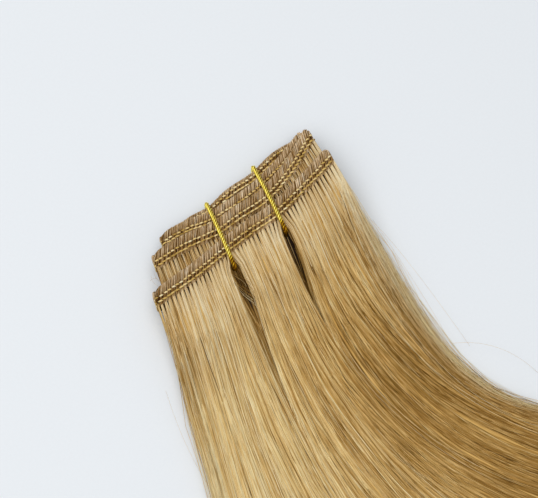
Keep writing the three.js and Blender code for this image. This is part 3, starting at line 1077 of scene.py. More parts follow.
@dataclass
class HairRow:
    """The hair sewn to one row of the strip: a packed core, and the strands that lie over it."""

    node: str
    row: Row
    over: Row | None
    order: int
    head: Pair
    body: Pair
    locks: tuple[int, int, int]
    groove: float
    reach: Pair
    batches: tuple[tuple[str, int, int, int, int], ...]
    fold_hairs: int = 90
    clumps: int = 3
    tip_share: float = 0.55
    free_from: float = 188.0
    core_end: float = 206.0
    core_facets: int = 6
    core_rows: int = 36
    head_run: float = 45.0
    root_steps: tuple[float, ...] = (0.0, 1.5, 4.0, 8.0)
    root_tuck: float = 0.6
    short_share: float = 0.12
    short_by: float = 0.3
    radii: Pair = (0.1, 0.19)
    tip_run: float = 0.22

    def varied(self, number: Array, kind: Own) -> Array:
        """Gives a numbered side, lock, clump, wisp or tooth of this row its own number from 0 to 1."""
        return vary(number, self.order + kind)

    def side_across(self, side: Array, along: Array) -> Array:
        """Gives the share across of the side between two locks.

        Args:
            side: The side's number, counted from the left edge.
            along: Distances from the front band.

        Returns:
            The shares across.
        """
        spread = ease(along / self.head_run)
        left = mix(self.head[0], self.body[0], spread)
        right = mix(self.head[1], self.body[1], spread)
        firsts = np.array((0, self.locks[0], self.locks[0] + self.locks[1]))
        span = np.searchsorted(firsts[1:], side)
        share = (side - firsts[span]) / np.array(self.locks)[span]
        low = np.choose(span, (left, *TIE_PLACES))
        high = np.choose(span, (*TIE_PLACES, right))
        width = (high - low) / np.array(self.locks)[span]
        inner = (share > 0) & (share < 1)
        uneven = np.where(inner, (self.varied(side, Own.SIDE) - 0.5) * 0.45 * width, 0.0)
        outer = (side == 0) | (side == sum(self.locks))
        sway = np.sin(along / 38 + 5 * self.varied(side, Own.SWAY)) * 0.12 * width * ease(along / 60)
        return mix(low, high, share) + uneven + np.where(outer, 0.0, sway)

    def lock_end(self, lock: Array) -> Array:
        """Gives how far a lock reaches from the front band."""
        return SIZES.hair_length * mix(self.reach[0], self.reach[1], self.varied(lock, Own.REACH))

    def parted(self, side: Array, along: Array) -> Array:
        """Gives how far a tie holds the hair off the sides of locks.

        Args:
            side: The sides' numbers.
            along: Distances from the front band.

        Returns:
            The shares across.
        """
        full_width = ROW_X[Row.FRONT][-1] - ROW_X[Row.FRONT][0]
        under = float(self.order > 0)
        left = np.interp(along, PARTING_ALONG, PARTING_LEFT) * (1 - under * ease((along - 9) / 11))
        right = np.interp(along, PARTING_ALONG, PARTING_RIGHT) * (1 - under * 0.6 * ease((along - 18) / 14))
        at_right = side == self.locks[0] + self.locks[1]
        return np.where(side == self.locks[0], left, np.where(at_right, right, 0.0)) / full_width * 2

    def lock_sides(self, lock: Array, along: Array) -> tuple[Array, Array]:
        """Gives the two sides of a lock, parted round the ties and drawn in at the tips.

        Args:
            lock: Lock numbers.
            along: Distances from the front band.

        Returns:
            The shares across of the left and the right side.
        """
        left = self.side_across(lock, along) + self.parted(lock, along)
        right = self.side_across(lock + 1, along) - self.parted(lock + 1, along)
        free = np.clip((along - self.free_from) / (self.lock_end(lock) - self.free_from), 0, 1)
        narrow = mix(1.0, self.tip_share, free**1.4)
        centre = (left + right) / 2
        return centre + (left - centre) * narrow, centre + (right - centre) * narrow

    def levels(self, lock: Array, share: Array, across: Array, along: Array) -> tuple[Array, Array]:
        """Gives the under face and the rounded upper face of a lock.

        Args:
            lock: Lock numbers.
            share: Shares across each lock.
            across: Shares across the bundle.
            along: Distances from the front band.

        Returns:
            The heights of the under and the upper face.
        """
        under = heap_floor(along) if self.over is None else heap_top(self.over, across, along)
        upper = heap_top(self.row, across, along) - SIZES.hair_gap
        crown = 1 - (2 * share - 1) ** 2
        depth = self.groove * ease((along + 4) / 24) * (upper - under)
        settle = 0.3 * self.varied(lock, Own.SETTLE) * depth
        return under, upper - depth * (1 - crown) - settle * crown

    def stations(self, rng: Chance, start: Array, end: Array, segments: int) -> Array:
        """Spaces the points of each strand, close together at the root and uneven past it.

        Args:
            rng: The source of chance.
            start: Where each strand leaves its band.
            end: Where each strand ends.
            segments: Segments in a strand.

        Returns:
            The distance along the flow of each point of each strand.
        """
        root = np.array(self.root_steps)
        steps = segments + 1 - len(root)
        ramp = (np.arange(1, steps + 1) / steps) ** 1.15
        gap = np.diff(np.concatenate(((0.0,), ramp)))
        jitter = (rng.random((len(start), steps)) - 0.5) * 0.6 * gap
        jitter[:, -1] = 0.0
        past = root[-1] + (end - start - root[-1])[:, None] * (ramp + jitter)
        near = np.broadcast_to(root, (len(start), len(root)))
        return start[:, None] + np.concatenate((near, past), axis=1)

    def strands(
        self, flow: HairFlow, rng: Chance, count: int, first: int, last: int, segments: int
    ) -> Strands:
        """Lays strands in a run of locks, gathered in tufts at the stitches and in clumps further down.

        Args:
            flow: The plan of the hair.
            rng: The source of chance.
            count: How many strands.
            first: The first lock.
            last: The lock after the last one.
            segments: Segments in a strand.

        Returns:
            The strands.
        """
        spot = (np.arange(count) + rng.random(count)) / count * (last - first)
        lock = first + spot.astype(int)
        share = spot - spot.astype(int)
        deep = rng.random(count) ** 1.6
        left, right = self.lock_sides(lock, np.zeros(count))
        root = mix(left, right, share)
        start = flow.row_along(self.row, root) - self.root_tuck
        short = np.where(rng.random(count) < self.short_share, rng.random(count) * self.short_by, 0.0)
        end = self.lock_end(lock) * (0.91 + 0.09 * np.sqrt(rng.random(count)) - short)
        along = self.stations(rng, start, end, segments)
        past = along - start[:, None]

        # Further down, each strand is drawn to the middle of its clump.
        clump = lock * self.clumps + np.minimum((share * self.clumps).astype(int), self.clumps - 1)
        middle = (clump % self.clumps + 0.2 + 0.6 * self.varied(clump, Own.CLUMP_MIDDLE)) / self.clumps
        hold = mix(0.0, 0.3, self.varied(clump, Own.CLUMP_HOLD))[:, None]
        pull = hold * ease((past - 5) / 55) + 0.2 * ease((along - 150) / 100)
        overlap = 0.16 * (share - 0.5)[:, None] * ease((past - 20) / 30)
        spread = share[:, None] + (middle - share)[:, None] * pull + overlap
        lock_left, lock_right = self.lock_sides(lock[:, None], along)
        across = mix(lock_left, lock_right, spread)

        # The outermost strands are drawn in unevenly, more so on the right.
        outward = 2 * (root - self.head[0]) / (self.head[1] - self.head[0]) - 1
        ragged = ease((np.abs(outward) - 0.84) / 0.14)[:, None] * ease((past - 6) / 20)
        fray = np.clip(rng.normal(-0.012, 0.018, count), -0.06, 0.005) * np.where(root > 0, 3.0, 1.2)
        drawn_in = np.where(root > 0, 0.045, 0.035)[:, None] * ease((along - 30) / 50)
        across = across + (fray[:, None] - drawn_in) * ragged * np.sign(across)

        # At the band, the strands of each stitch are gathered into a tooth.
        pitch = SIZES.stitch_pitch / flow.half_span
        tooth = np.floor(root / pitch)
        tooth_middle = (tooth + 0.35 + 0.3 * self.varied(tooth, Own.TOOTH_MIDDLE)) * pitch
        in_tooth = (2 * (root / pitch - tooth) - 1)[:, None] ** 2
        ridge = 1 - ease((past - 8) / 34)
        longer = 4 * ease((root - 0.2) / 0.3)
        tooth_length = mix(4.0, 13.0, self.varied(tooth, Own.TOOTH_LENGTH) ** 1.5) + longer
        bite = mix(0.3, 0.5, self.varied(tooth, Own.TOOTH_BITE))[:, None]
        bite = bite * (1 - ease(past / tooth_length[:, None])) * (1.0 if self.order == 0 else 0.7)
        across = across + (tooth_middle - root)[:, None] * bite

        stray = self._stray(rng, outward)[:, None] * ease((past - 6) / 45)
        swing = self._swing(rng, clump, along, past) + stray
        plan = flow.point(across, along) + flow.aside(across, along, swing)

        # Each strand lies between the under face and the rounded top of its lock.
        wisp = np.floor(spot * (8 if self.order == 0 else 10))
        radius = mix(*self.radii, rng.random(count))[:, None]
        tip = np.clip((end[:, None] - along) / (self.tip_run * SIZES.hair_length), 0, 1)
        thin = np.where(root > 0, 0.58, 0.66)[:, None]
        radius = radius * mix(0.3, 1.0, tip) * mix(0.75, 1.0, ease(past / 6)) * mix(1.0, thin, ragged)
        under, upper = self.levels(lock[:, None], spread, across, along)
        hump = 0.3 * ease(past / 30) * (1 - (2 * ((spread * self.clumps) % 1.0) - 1) ** 2)
        lift = np.abs(rng.normal(0, 0.12, count)) + 0.2 * self.varied(wisp, Own.WISP_LIFT)
        top = upper + hump + lift[:, None] * ease(past / 25) - radius
        top = top - 0.45 * in_tooth * ridge * ease((past + 1) / 5)
        bottom = np.maximum(under + 0.2, radius + 0.05)
        z = np.maximum(top - deep[:, None] * 0.85 * (top - bottom) - 0.9 * np.abs(stray), bottom)
        route = np.concatenate((plan, z[..., None]), axis=-1)

        # Wisps and locks differ in tone; strands at the edges of each tooth get painted shade near the band,
        # each lock gets painted light on its left side and painted shade on its right, and the strands are
        # ashen by the band and along the right edge.
        tone = self._tones(rng, clump, deep, across, along, past) - 0.16 * in_tooth * ridge
        phase = along / mix(7, 16, self.varied(wisp, Own.WISP_WAVE))[:, None]
        phase = phase + 6 * self.varied(wisp, Own.WISP_PHASE)[:, None]
        wisp_tone = 0.12 * (self.varied(wisp, Own.WISP_TONE) - 0.5)[:, None] + 0.06 * np.sin(phase)
        # Each lock's own tone, with painted light on its left side and painted shade on its right.
        lock_tone_and_side_shade = (0.1 * (self.varied(lock, Own.LOCK_TONE) - 0.5) + 0.16 * (0.5 - share))[:, None]
        finer = 1 - 0.6 * self._sweep(across, along)
        tone = tone + finer * (wisp_tone * ease((past - 2) / 10) + lock_tone_and_side_shade * ease((past - 12) / 40))
        edge = ease((across - 0.68) / 0.3) * ease((past - 10) / 20)
        ashen = np.maximum(1 - ease((past - 4) / 42), edge)
        return Strands(route, radius, np.clip(tone, *TONE_LIMITS), ashen=ashen)

    def _stray(self, rng: Chance, outward: Array) -> Array:
        """Gives how far each hair near an outer edge strays out of the sweep, in millimetres."""
        chance = 0.5 * ease((np.abs(outward) - 0.8) / 0.2)
        strays = rng.random(len(outward)) < chance
        return np.where(strays, rng.exponential(0.9, len(outward)), 0.0) * np.sign(outward)

    def _swing(self, rng: Chance, clump: Array, along: Array, past: Array) -> Array:
        """Gives the sideways swing of each strand, shared by its clump and its own.

        Args:
            rng: The source of chance.
            clump: Each strand's clump.
            along: Distances from the front band.
            past: Distances from the strand's own band.

        Returns:
            The swing in millimetres.
        """
        count = len(clump)
        shared = mix(0.1, 0.7, self.varied(clump, Own.SWING))[:, None]
        wave = 2 * np.pi * along / mix(60, 140, self.varied(clump, Own.SWING_WAVE))[:, None]
        shared = shared * np.sin(wave + 6 * self.varied(clump, Own.SWING_PHASE)[:, None])
        own = np.abs(rng.normal(0, 0.28, count))[:, None]
        own_wave = 2 * np.pi * (along / mix(28, 80, rng.random(count))[:, None] + rng.random(count)[:, None])
        return (shared + own * np.sin(own_wave)) * ease(past / 40)

    @staticmethod
    def _sweep(across: Array, along: Array) -> Array:
        """Gives how far a place lies into the smooth sweep at the lower right, from 0 to 1."""
        return ease((along - 40) / 60) * ease((across + 0.2) / 0.6)

    def _tones(
        self, rng: Chance, clump: Array, deep: Array, across: Array, along: Array, past: Array
    ) -> Array:
        """Gives the tone of each strand along its length, with painted shade where it lies deep, by a
        parting, at its root, under the row above and towards the right of the sweep, and painted light along
        the outer edges.

        Args:
            rng: The source of chance.
            clump: Each strand's clump.
            deep: How deep it lies in the heap, from 0 to 1.
            across: Shares across the bundle.
            along: Distances from the front band.
            past: Distances from the strand's own band.

        Returns:
            The tones, from 0 to 1.
        """
        own = rng.normal(0.0, 0.22, len(clump)) + (self.varied(clump, Own.CLUMP_TONE) - 0.5) * 0.1
        calm = 1 - 0.36 * self._sweep(across, along)
        # Strands that lie deeper in the heap get painted shade.
        tone = 0.71 + (own - 0.2 * deep)[:, None] * calm + 0.06 * (1 - calm)
        wave = along / mix(9, 20, self.varied(clump, Own.TONE_WAVE))[:, None]
        tone = tone + 0.05 * np.sin(wave + 6 * self.varied(clump, Own.TONE_PHASE)[:, None])
        # Painted shade that deepens towards the right and down the sweep.
        shade = 0.2 * ease((across + 0.6) / 0.6) * ease((along - 5) / 35)
        shade = shade + 0.27 * ease((along - 16) / 80) * ease((across + 0.3) / 0.8)
        # Painted shade on the left edge just below the band and on the lower rows' roots under the row above;
        # painted light along the outer edges.
        left_end = 0.2 * ease((-0.8 - across) / 0.1) * ease((past - 2) / 5) * (1 - ease((along - 28) / 45))
        shade_under_row_above = 0.1 * (self.order > 0) * (1 - ease((past - 8) / 30))
        right_rim = 0.2 * ease((across - 0.86) / 0.1) + 0.03 * ease((across - 0.7) / 0.2)
        left_rim = 0.2 * ease((-0.84 - across) / 0.1) * ease((along - 45) / 40)
        side = right_rim + left_rim - shade - left_end - shade_under_row_above
        # Painted shade down each parting; on the lower rows a painted shadow also scales the tone down just
        # under each tie.
        parting = np.zeros_like(across)
        shadow = np.zeros_like(across)
        depth, wide, shut = (0.4, 0.1, 0.85) if self.order > 0 else (0.06, 0.06, 0.0)
        for place in TIE_PLACES:
            near = np.exp(-(((across - place) / wide) ** 2)) * ease((along - 3) / 5)
            parting = parting + near * (1 - ease((along - 14) / 42))
            shadow = shadow + shut * near * (1 - ease((along - 14) / 16))
        # Painted shade at the root, where the hair goes under its band.
        root = 0.1 * (1 - ease(past / 3))
        return np.clip((tone + side - depth * parting - root) * (1 - shadow), *TONE_LIMITS)

    def core(self, flow: HairFlow) -> Piece:
        """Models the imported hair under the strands, as one closed shell for each span between the ties.

        Args:
            flow: The plan of the hair.

        Returns:
            The core, with its flow map in millimetres and a shade for the dark places.
        """
        spans = ((0, sum(self.locks)),)
        if self.over is not None:
            marks = np.cumsum((0, *self.locks))
            spans = tuple(zip(marks[:-1], marks[1:]))
        shells = [self._core_span(flow, int(first), int(last)) for first, last in spans]
        return join_pieces(shells, f"{self.node}_core")

    def _core_span(self, flow: HairFlow, first: int, last: int) -> Piece:
        """Lays a grid to the flow over a run of locks and extrudes it down to the under face.

        Args:
            flow: The plan of the hair.
            first: The first lock.
            last: The lock after the last one.

        Returns:
            One closed shell.
        """
        deselect()
        columns = self.core_facets * (last - first)
        bpy.ops.mesh.primitive_grid_add(x_subdivisions=columns, y_subdivisions=self.core_rows, size=1)
        piece = bpy.context.active_object
        edit_all()
        bpy.ops.mesh.extrude_region_move(TRANSFORM_OT_translate={"value": (0, 0, -1)})
        bpy.ops.object.mode_set(mode="OBJECT")
        mesh = piece.data
        grid = mesh_points(mesh)
        spot = first + (grid[:, 0] + 0.5) * (last - first)
        lock = np.clip(np.floor(spot + 1e-6), first, last - 1)
        share = np.clip(spot - lock, 0.0, 1.0)
        left, right = self.lock_sides(lock, np.zeros_like(share))
        start = flow.row_along(self.row, mix(left, right, share)) - 0.2
        along = start + (self.core_end - start) * (grid[:, 1] + 0.5) ** 1.6
        past = along - start
        left, right = self.lock_sides(lock, along)
        across = mix(left, right, share)
        inset = ease(past / 20)
        across = np.clip(across, 0.1 * inset - 1, 1 - 0.16 * inset)
        under, upper = self.levels(lock, share, across, along)
        fill = mix(0.15, 0.86, ease((past - 2) / 14)) * (1 - 0.9 * ease((along - 150) / 55))
        low = np.maximum(under + 0.05, 0.05)
        height = np.where(grid[:, 2] < -0.5, low, low + 0.08 + fill * np.maximum(upper - low, 0.1))
        plan = flow.point(across, along)
        mesh.vertices.foreach_set("co", in_frame(np.column_stack((plan, height))).ravel())
        # Painted shade at the root under the band, and down the partings under the ties, wider on the lower
        # rows.
        shade = 0.9 * (1 - ease((past - 1) / 8))
        wide = 0.16 if self.order > 0 else 0.05
        for place in TIE_PLACES:
            near = np.exp(-(((across - place) / wide) ** 2))
            fade = mix(1.0, 0.4, ease((along - 18) / 14)) * (1 - ease((along - 32) / 40))
            shade = np.maximum(shade, 0.95 * near * ease((along - 3) / 5) * fade)
        put_value(mesh, "shade", shade)
        corners = np.empty(len(mesh.loops), dtype=np.int32)
        mesh.loops.foreach_get("vertex_index", corners)
        flow_map = np.column_stack((across * flow.half_span, along))[corners]
        mesh.uv_layers[0].name = FLOW_MAP
        mesh.uv_layers[0].data.foreach_set("uv", flow_map.astype(np.float32).ravel())
        close_surface(smooth_up_to=50)
        return piece

    def fold_strands(self, path: "StripPath", rng: Chance) -> Strands:
        """Lays the hair that leaves the strip where it folds under at the row's left end.

        Args:
            path: The wound strip.
            rng: The source of chance.

        Returns:
            The strands, down the left edge of the sweep.
        """
        flow = path.flow
        first, last = path.fold_ranges[self.row]
        count = self.fold_hairs
        spot = mix(path.length[first], path.length[last], rng.random(count))
        drop = path.read(path.widthways, spot) * (SIZES.strip_height / 2 - 0.5)
        root = path.read(path.centre, spot) - drop + path.read(path.outward, spot) * 0.35
        across = np.full((count, 1), self.head[0]) + mix(0.0, 0.07, rng.random((count, 1)))
        start = flow.row_along(self.row, across[:, 0])[:, None]
        end = self.lock_end(np.zeros(count)) * mix(0.7, 0.95, rng.random(count))
        along = self.stations(rng, start[:, 0], end, 13)
        past = along - start
        across = across + ease(along / self.head_run) * (self.body[0] - self.head[0])
        plan = flow.point(across, along)
        swing = (rng.normal(0.2, 0.6, (count, 1)) + 1.5 * ease((along - 40) / 60)) * ease(past / 40)
        aside = flow.aside(across, along, swing)
        shift = (root[:, None, :2] - plan[:, :1]) * (1 - ease(past / 30))[..., None]
        low = mix(0.3, 0.9, rng.random((count, 1)))
        rest = np.maximum(heap_top(self.row, across, along) * low - 0.4, 0.25)
        z = mix(root[:, 2:3], rest, ease((past - 1) / 26))
        route = np.concatenate((plan + aside + shift, z[..., None]), axis=-1)
        radius = np.full(along.shape, 0.14) * mix(1.0, 0.5, ease((along - 150) / 90))
        tone = 0.5 + rng.normal(0, 0.14, (count, 1)) + 0.3 * ease((past - 30) / 50)
        return Strands(route, radius, np.clip(tone, *TONE_LIMITS))

    def build(self, path: "StripPath", rng: Chance, strand_finish: Material, core_finish: Material) -> None:
        """Makes the row's core and strands and dresses them.

        Args:
            path: The wound strip and the plan of the hair.
            rng: The source of chance.
            strand_finish: The material of the strands.
            core_finish: The material of the core.
        """
        flow = path.flow
        hand_over(self.core(flow), core_finish, self.node)
        for name, count, first, last, segments in self.batches:
            piece = self.strands(flow, rng, count, first, last, segments).piece(name)
            hand_over(piece, strand_finish, self.node)
        folded = self.fold_strands(path, rng).piece(f"{self.node}_fold_strands")
        hand_over(folded, strand_finish, self.node)


# Each row of hair from the front. A batch of strands has its name, its count, the locks that it fills, from
# the first to the one after the last, and the segments in a strand.
HAIR_ROWS = (
    HairRow(
        node="hair_front", row=Row.FRONT, over=Row.SECOND, order=0,
        head=(-1.0, 1.0), body=(-1.0, 1.0), locks=(5, 4, 5), groove=0.5, reach=(0.9, 0.97),
        batches=(
            ("hair_front_left", 2400, 0, 5, 12),
            ("hair_front_middle", 1920, 5, 9, 15),
            ("hair_front_right", 1620, 9, 14, 18),
        ),
    ),
    HairRow(
        node="hair_second", row=Row.SECOND, over=Row.THIRD, order=1,
        head=(-0.93, 0.96), body=(-0.97, 0.97), locks=(3, 3, 3), groove=0.35, reach=(0.91, 0.98),
        batches=(("hair_second_strands", 880, 0, 9, 13),),
        fold_hairs=60, clumps=4, core_facets=5,
    ),
    HairRow(
        node="hair_third", row=Row.THIRD, over=Row.BACK, order=2,
        head=(-0.81, 0.88), body=(-0.95, 0.95), locks=(3, 3, 3), groove=0.35, reach=(0.92, 0.99),
        batches=(("hair_third_strands", 500, 0, 9, 12),),
        fold_hairs=40, clumps=4, core_facets=4,
    ),
    HairRow(
        node="hair_back", row=Row.BACK, over=None, order=3,
        head=(-0.72, 0.84), body=(-0.98, 0.98), locks=(4, 3, 4), groove=0.4, reach=(0.94, 1.0),
        batches=(("hair_back_strands", 780, 0, 11, 13),),
        fold_hairs=30, core_facets=4,
    ),
)


@dataclass(frozen=True)
class StripLayer:
    """One layer of the wound strip: its ends, its height, and the rows that it runs from and to."""

    left: float
    right: float
    height: float
    own: Row
    after: Row | None

    def lower_edge(self, x: Array | float) -> Array:
        """Gives the plan place of the layer's lower edge. A layer that comes back runs below the back row.

        Args:
            x: Places along the front band.

        Returns:
            The y of the edge at each place.
        """
        if self.after is None:
            return row_y(self.own, x)
        start = ease((x - self.left) / (SIZES.under_from - self.left))
        end = ease((x - SIZES.under_to) / (self.right - SIZES.under_to))
        run = mix(row_y(self.own, x), row_y(Row.BACK, x), start)
        return mix(run, row_y(self.after, x), end)


def upper_layer(turn: int) -> StripLayer:
    """Gives the layer that shows as a row."""
    row = ROWS[turn]
    return StripLayer(ROW_X[row][0], ROW_X[row][-1], layer_height(turn), row, None)


def under_layer(turn: int) -> StripLayer:
    """Gives the layer that comes back under the rows to the next row's right end."""
    row = ROWS[turn]
    after = ROWS[min(turn + 1, len(ROWS) - 1)]
    return StripLayer(ROW_X[row][0], ROW_X[after][-1], layer_height(SIZES.layers - 1 - turn), row, after)


class StripPath:
    """The middle line of the strip, wound as a flat coil, with its widthways and outward directions."""

    STEP = 1.2
    CORNER_STEPS = 3
    SHOWS_PAST = 9.0

    def __init__(self, flow: HairFlow) -> None:
        """Walks the coil from the right end of the front row and keeps a station at each step."""
        self.flow = flow
        self.corner = SIZES.layer_pitch / 2
        self._stations: list[tuple[Array, Array, Array, Pair]] = []
        self.row_ranges: dict[Row, tuple[int, int]] = {}
        self.fold_ranges: dict[Row, tuple[int, int]] = {}
        for turn, row in enumerate(ROWS):
            upper = upper_layer(turn)
            under = under_layer(turn)
            lines = STITCH_LINES[row]
            first = len(self._stations)
            self._straight(upper, upper.right, upper.left, 0.0, lines)
            turn_over = len(self._stations)
            self.row_ranges[row] = (first, turn_over - 1)
            self._fold(upper, upper.left, under.height, 0.0, lines)
            self.fold_ranges[row] = (turn_over, len(self._stations) - 1)
            self._straight(under, under.left, under.right, math.pi, lines)
            if turn + 1 < len(ROWS):
                after = upper_layer(turn + 1)
                self._fold(after, after.right, under.height, math.pi, STITCH_LINES[ROWS[turn + 1]])
        self.centre, self.widthways, self.outward, self.lines = map(np.array, zip(*self._stations))
        steps = np.linalg.norm(np.diff(self.centre, axis=0), axis=1)
        self.length = np.concatenate(((0.0,), np.cumsum(steps)))

    def _station(
        self, layer: StripLayer, x: float, z: float, turned: float, reach: float, lines: Pair
    ) -> None:
        """Keeps one station.

        Args:
            layer: The layer that the station is on.
            x: Its place along the front band.
            z: The height that it is turned about.
            turned: How far round a fold it is, in radians.
            reach: Its distance from where it is turned about.
            lines: The heights of the stitching above the lower edge.
        """
        share = np.array(2 * (x - layer.left) / (layer.right - layer.left) - 1)
        heading = float(self.flow.heading(share[None], np.zeros(1))[0])
        widthways = np.array((-math.cos(heading), -math.sin(heading), 0.0))
        run = np.array((widthways[1], -widthways[0], 0.0))
        outward = np.array((0.0, 0.0, math.cos(turned))) - run * math.sin(turned)
        edge = np.array((x, layer.lower_edge(x), z))
        centre = edge + widthways * SIZES.strip_height / 2 + outward * reach
        self._stations.append((centre, widthways, outward, lines))

    def _straight(self, layer: StripLayer, start: float, end: float, turned: float, lines: Pair) -> None:
        """Keeps the stations of a run between two ends of a layer."""
        steps = math.ceil(abs(end - start) / self.STEP)
        for i in range(steps + 1):
            self._station(layer, mix(start, end, i / steps), layer.height, turned, 0.0, lines)

    def _fold(self, upper: StripLayer, x: float, under_height: float, turned: float, lines: Pair) -> None:
        """Keeps the stations round a fold between a row and the layer under it."""
        heights = (upper.height - self.corner, under_height + self.corner)
        if turned > 0:
            heights = heights[::-1]
        quarter = math.pi / 2
        for i in range(1, self.CORNER_STEPS + 1):
            angle = turned + quarter * i / self.CORNER_STEPS
            self._station(upper, x, heights[0], angle, self.corner, lines)
        for i in range(self.CORNER_STEPS):
            angle = turned + quarter + quarter * i / self.CORNER_STEPS
            self._station(upper, x, heights[1], angle, self.corner, lines)

    def shows(self, length: Array) -> Array:
        """Tells which distances along the strip lie on a row, or just past it where a fold still shows."""
        spans = [(self.length[first], self.length[last]) for first, last in self.row_ranges.values()]
        past = self.SHOWS_PAST
        return np.any([(length > low - past) & (length < high + past) for low, high in spans], axis=0)

    def read(self, values: Array, length: Array) -> Array:
        """Reads a station's values at distances along the strip."""
        return np.stack([np.interp(length, self.length, column) for column in values.T], axis=-1)

    def row_spots(self, row: Row, count: int) -> tuple[Array, Array]:
        """Pairs places across the bundle with distances along the strip, over one row.

        Args:
            row: The row.
            count: How many places.

        Returns:
            Rising places across in millimetres, and the distance along the strip at each.
        """
        first, last = self.row_ranges[row]
        lower = self.centre[first : last + 1] - self.widthways[first : last + 1] * SIZES.strip_height / 2
        shares = np.linspace(-self.flow.ACROSS_LIMIT, self.flow.ACROSS_LIMIT, 400)
        row_x = self.flow.point(shares, self.flow.row_along(row, shares))[:, 0]
        places = np.interp(lower[::-1, 0], row_x, shares) * self.flow.half_span
        even = np.linspace(places[0], places[-1], count)
        return even, np.interp(even, places, self.length[first : last + 1][::-1])


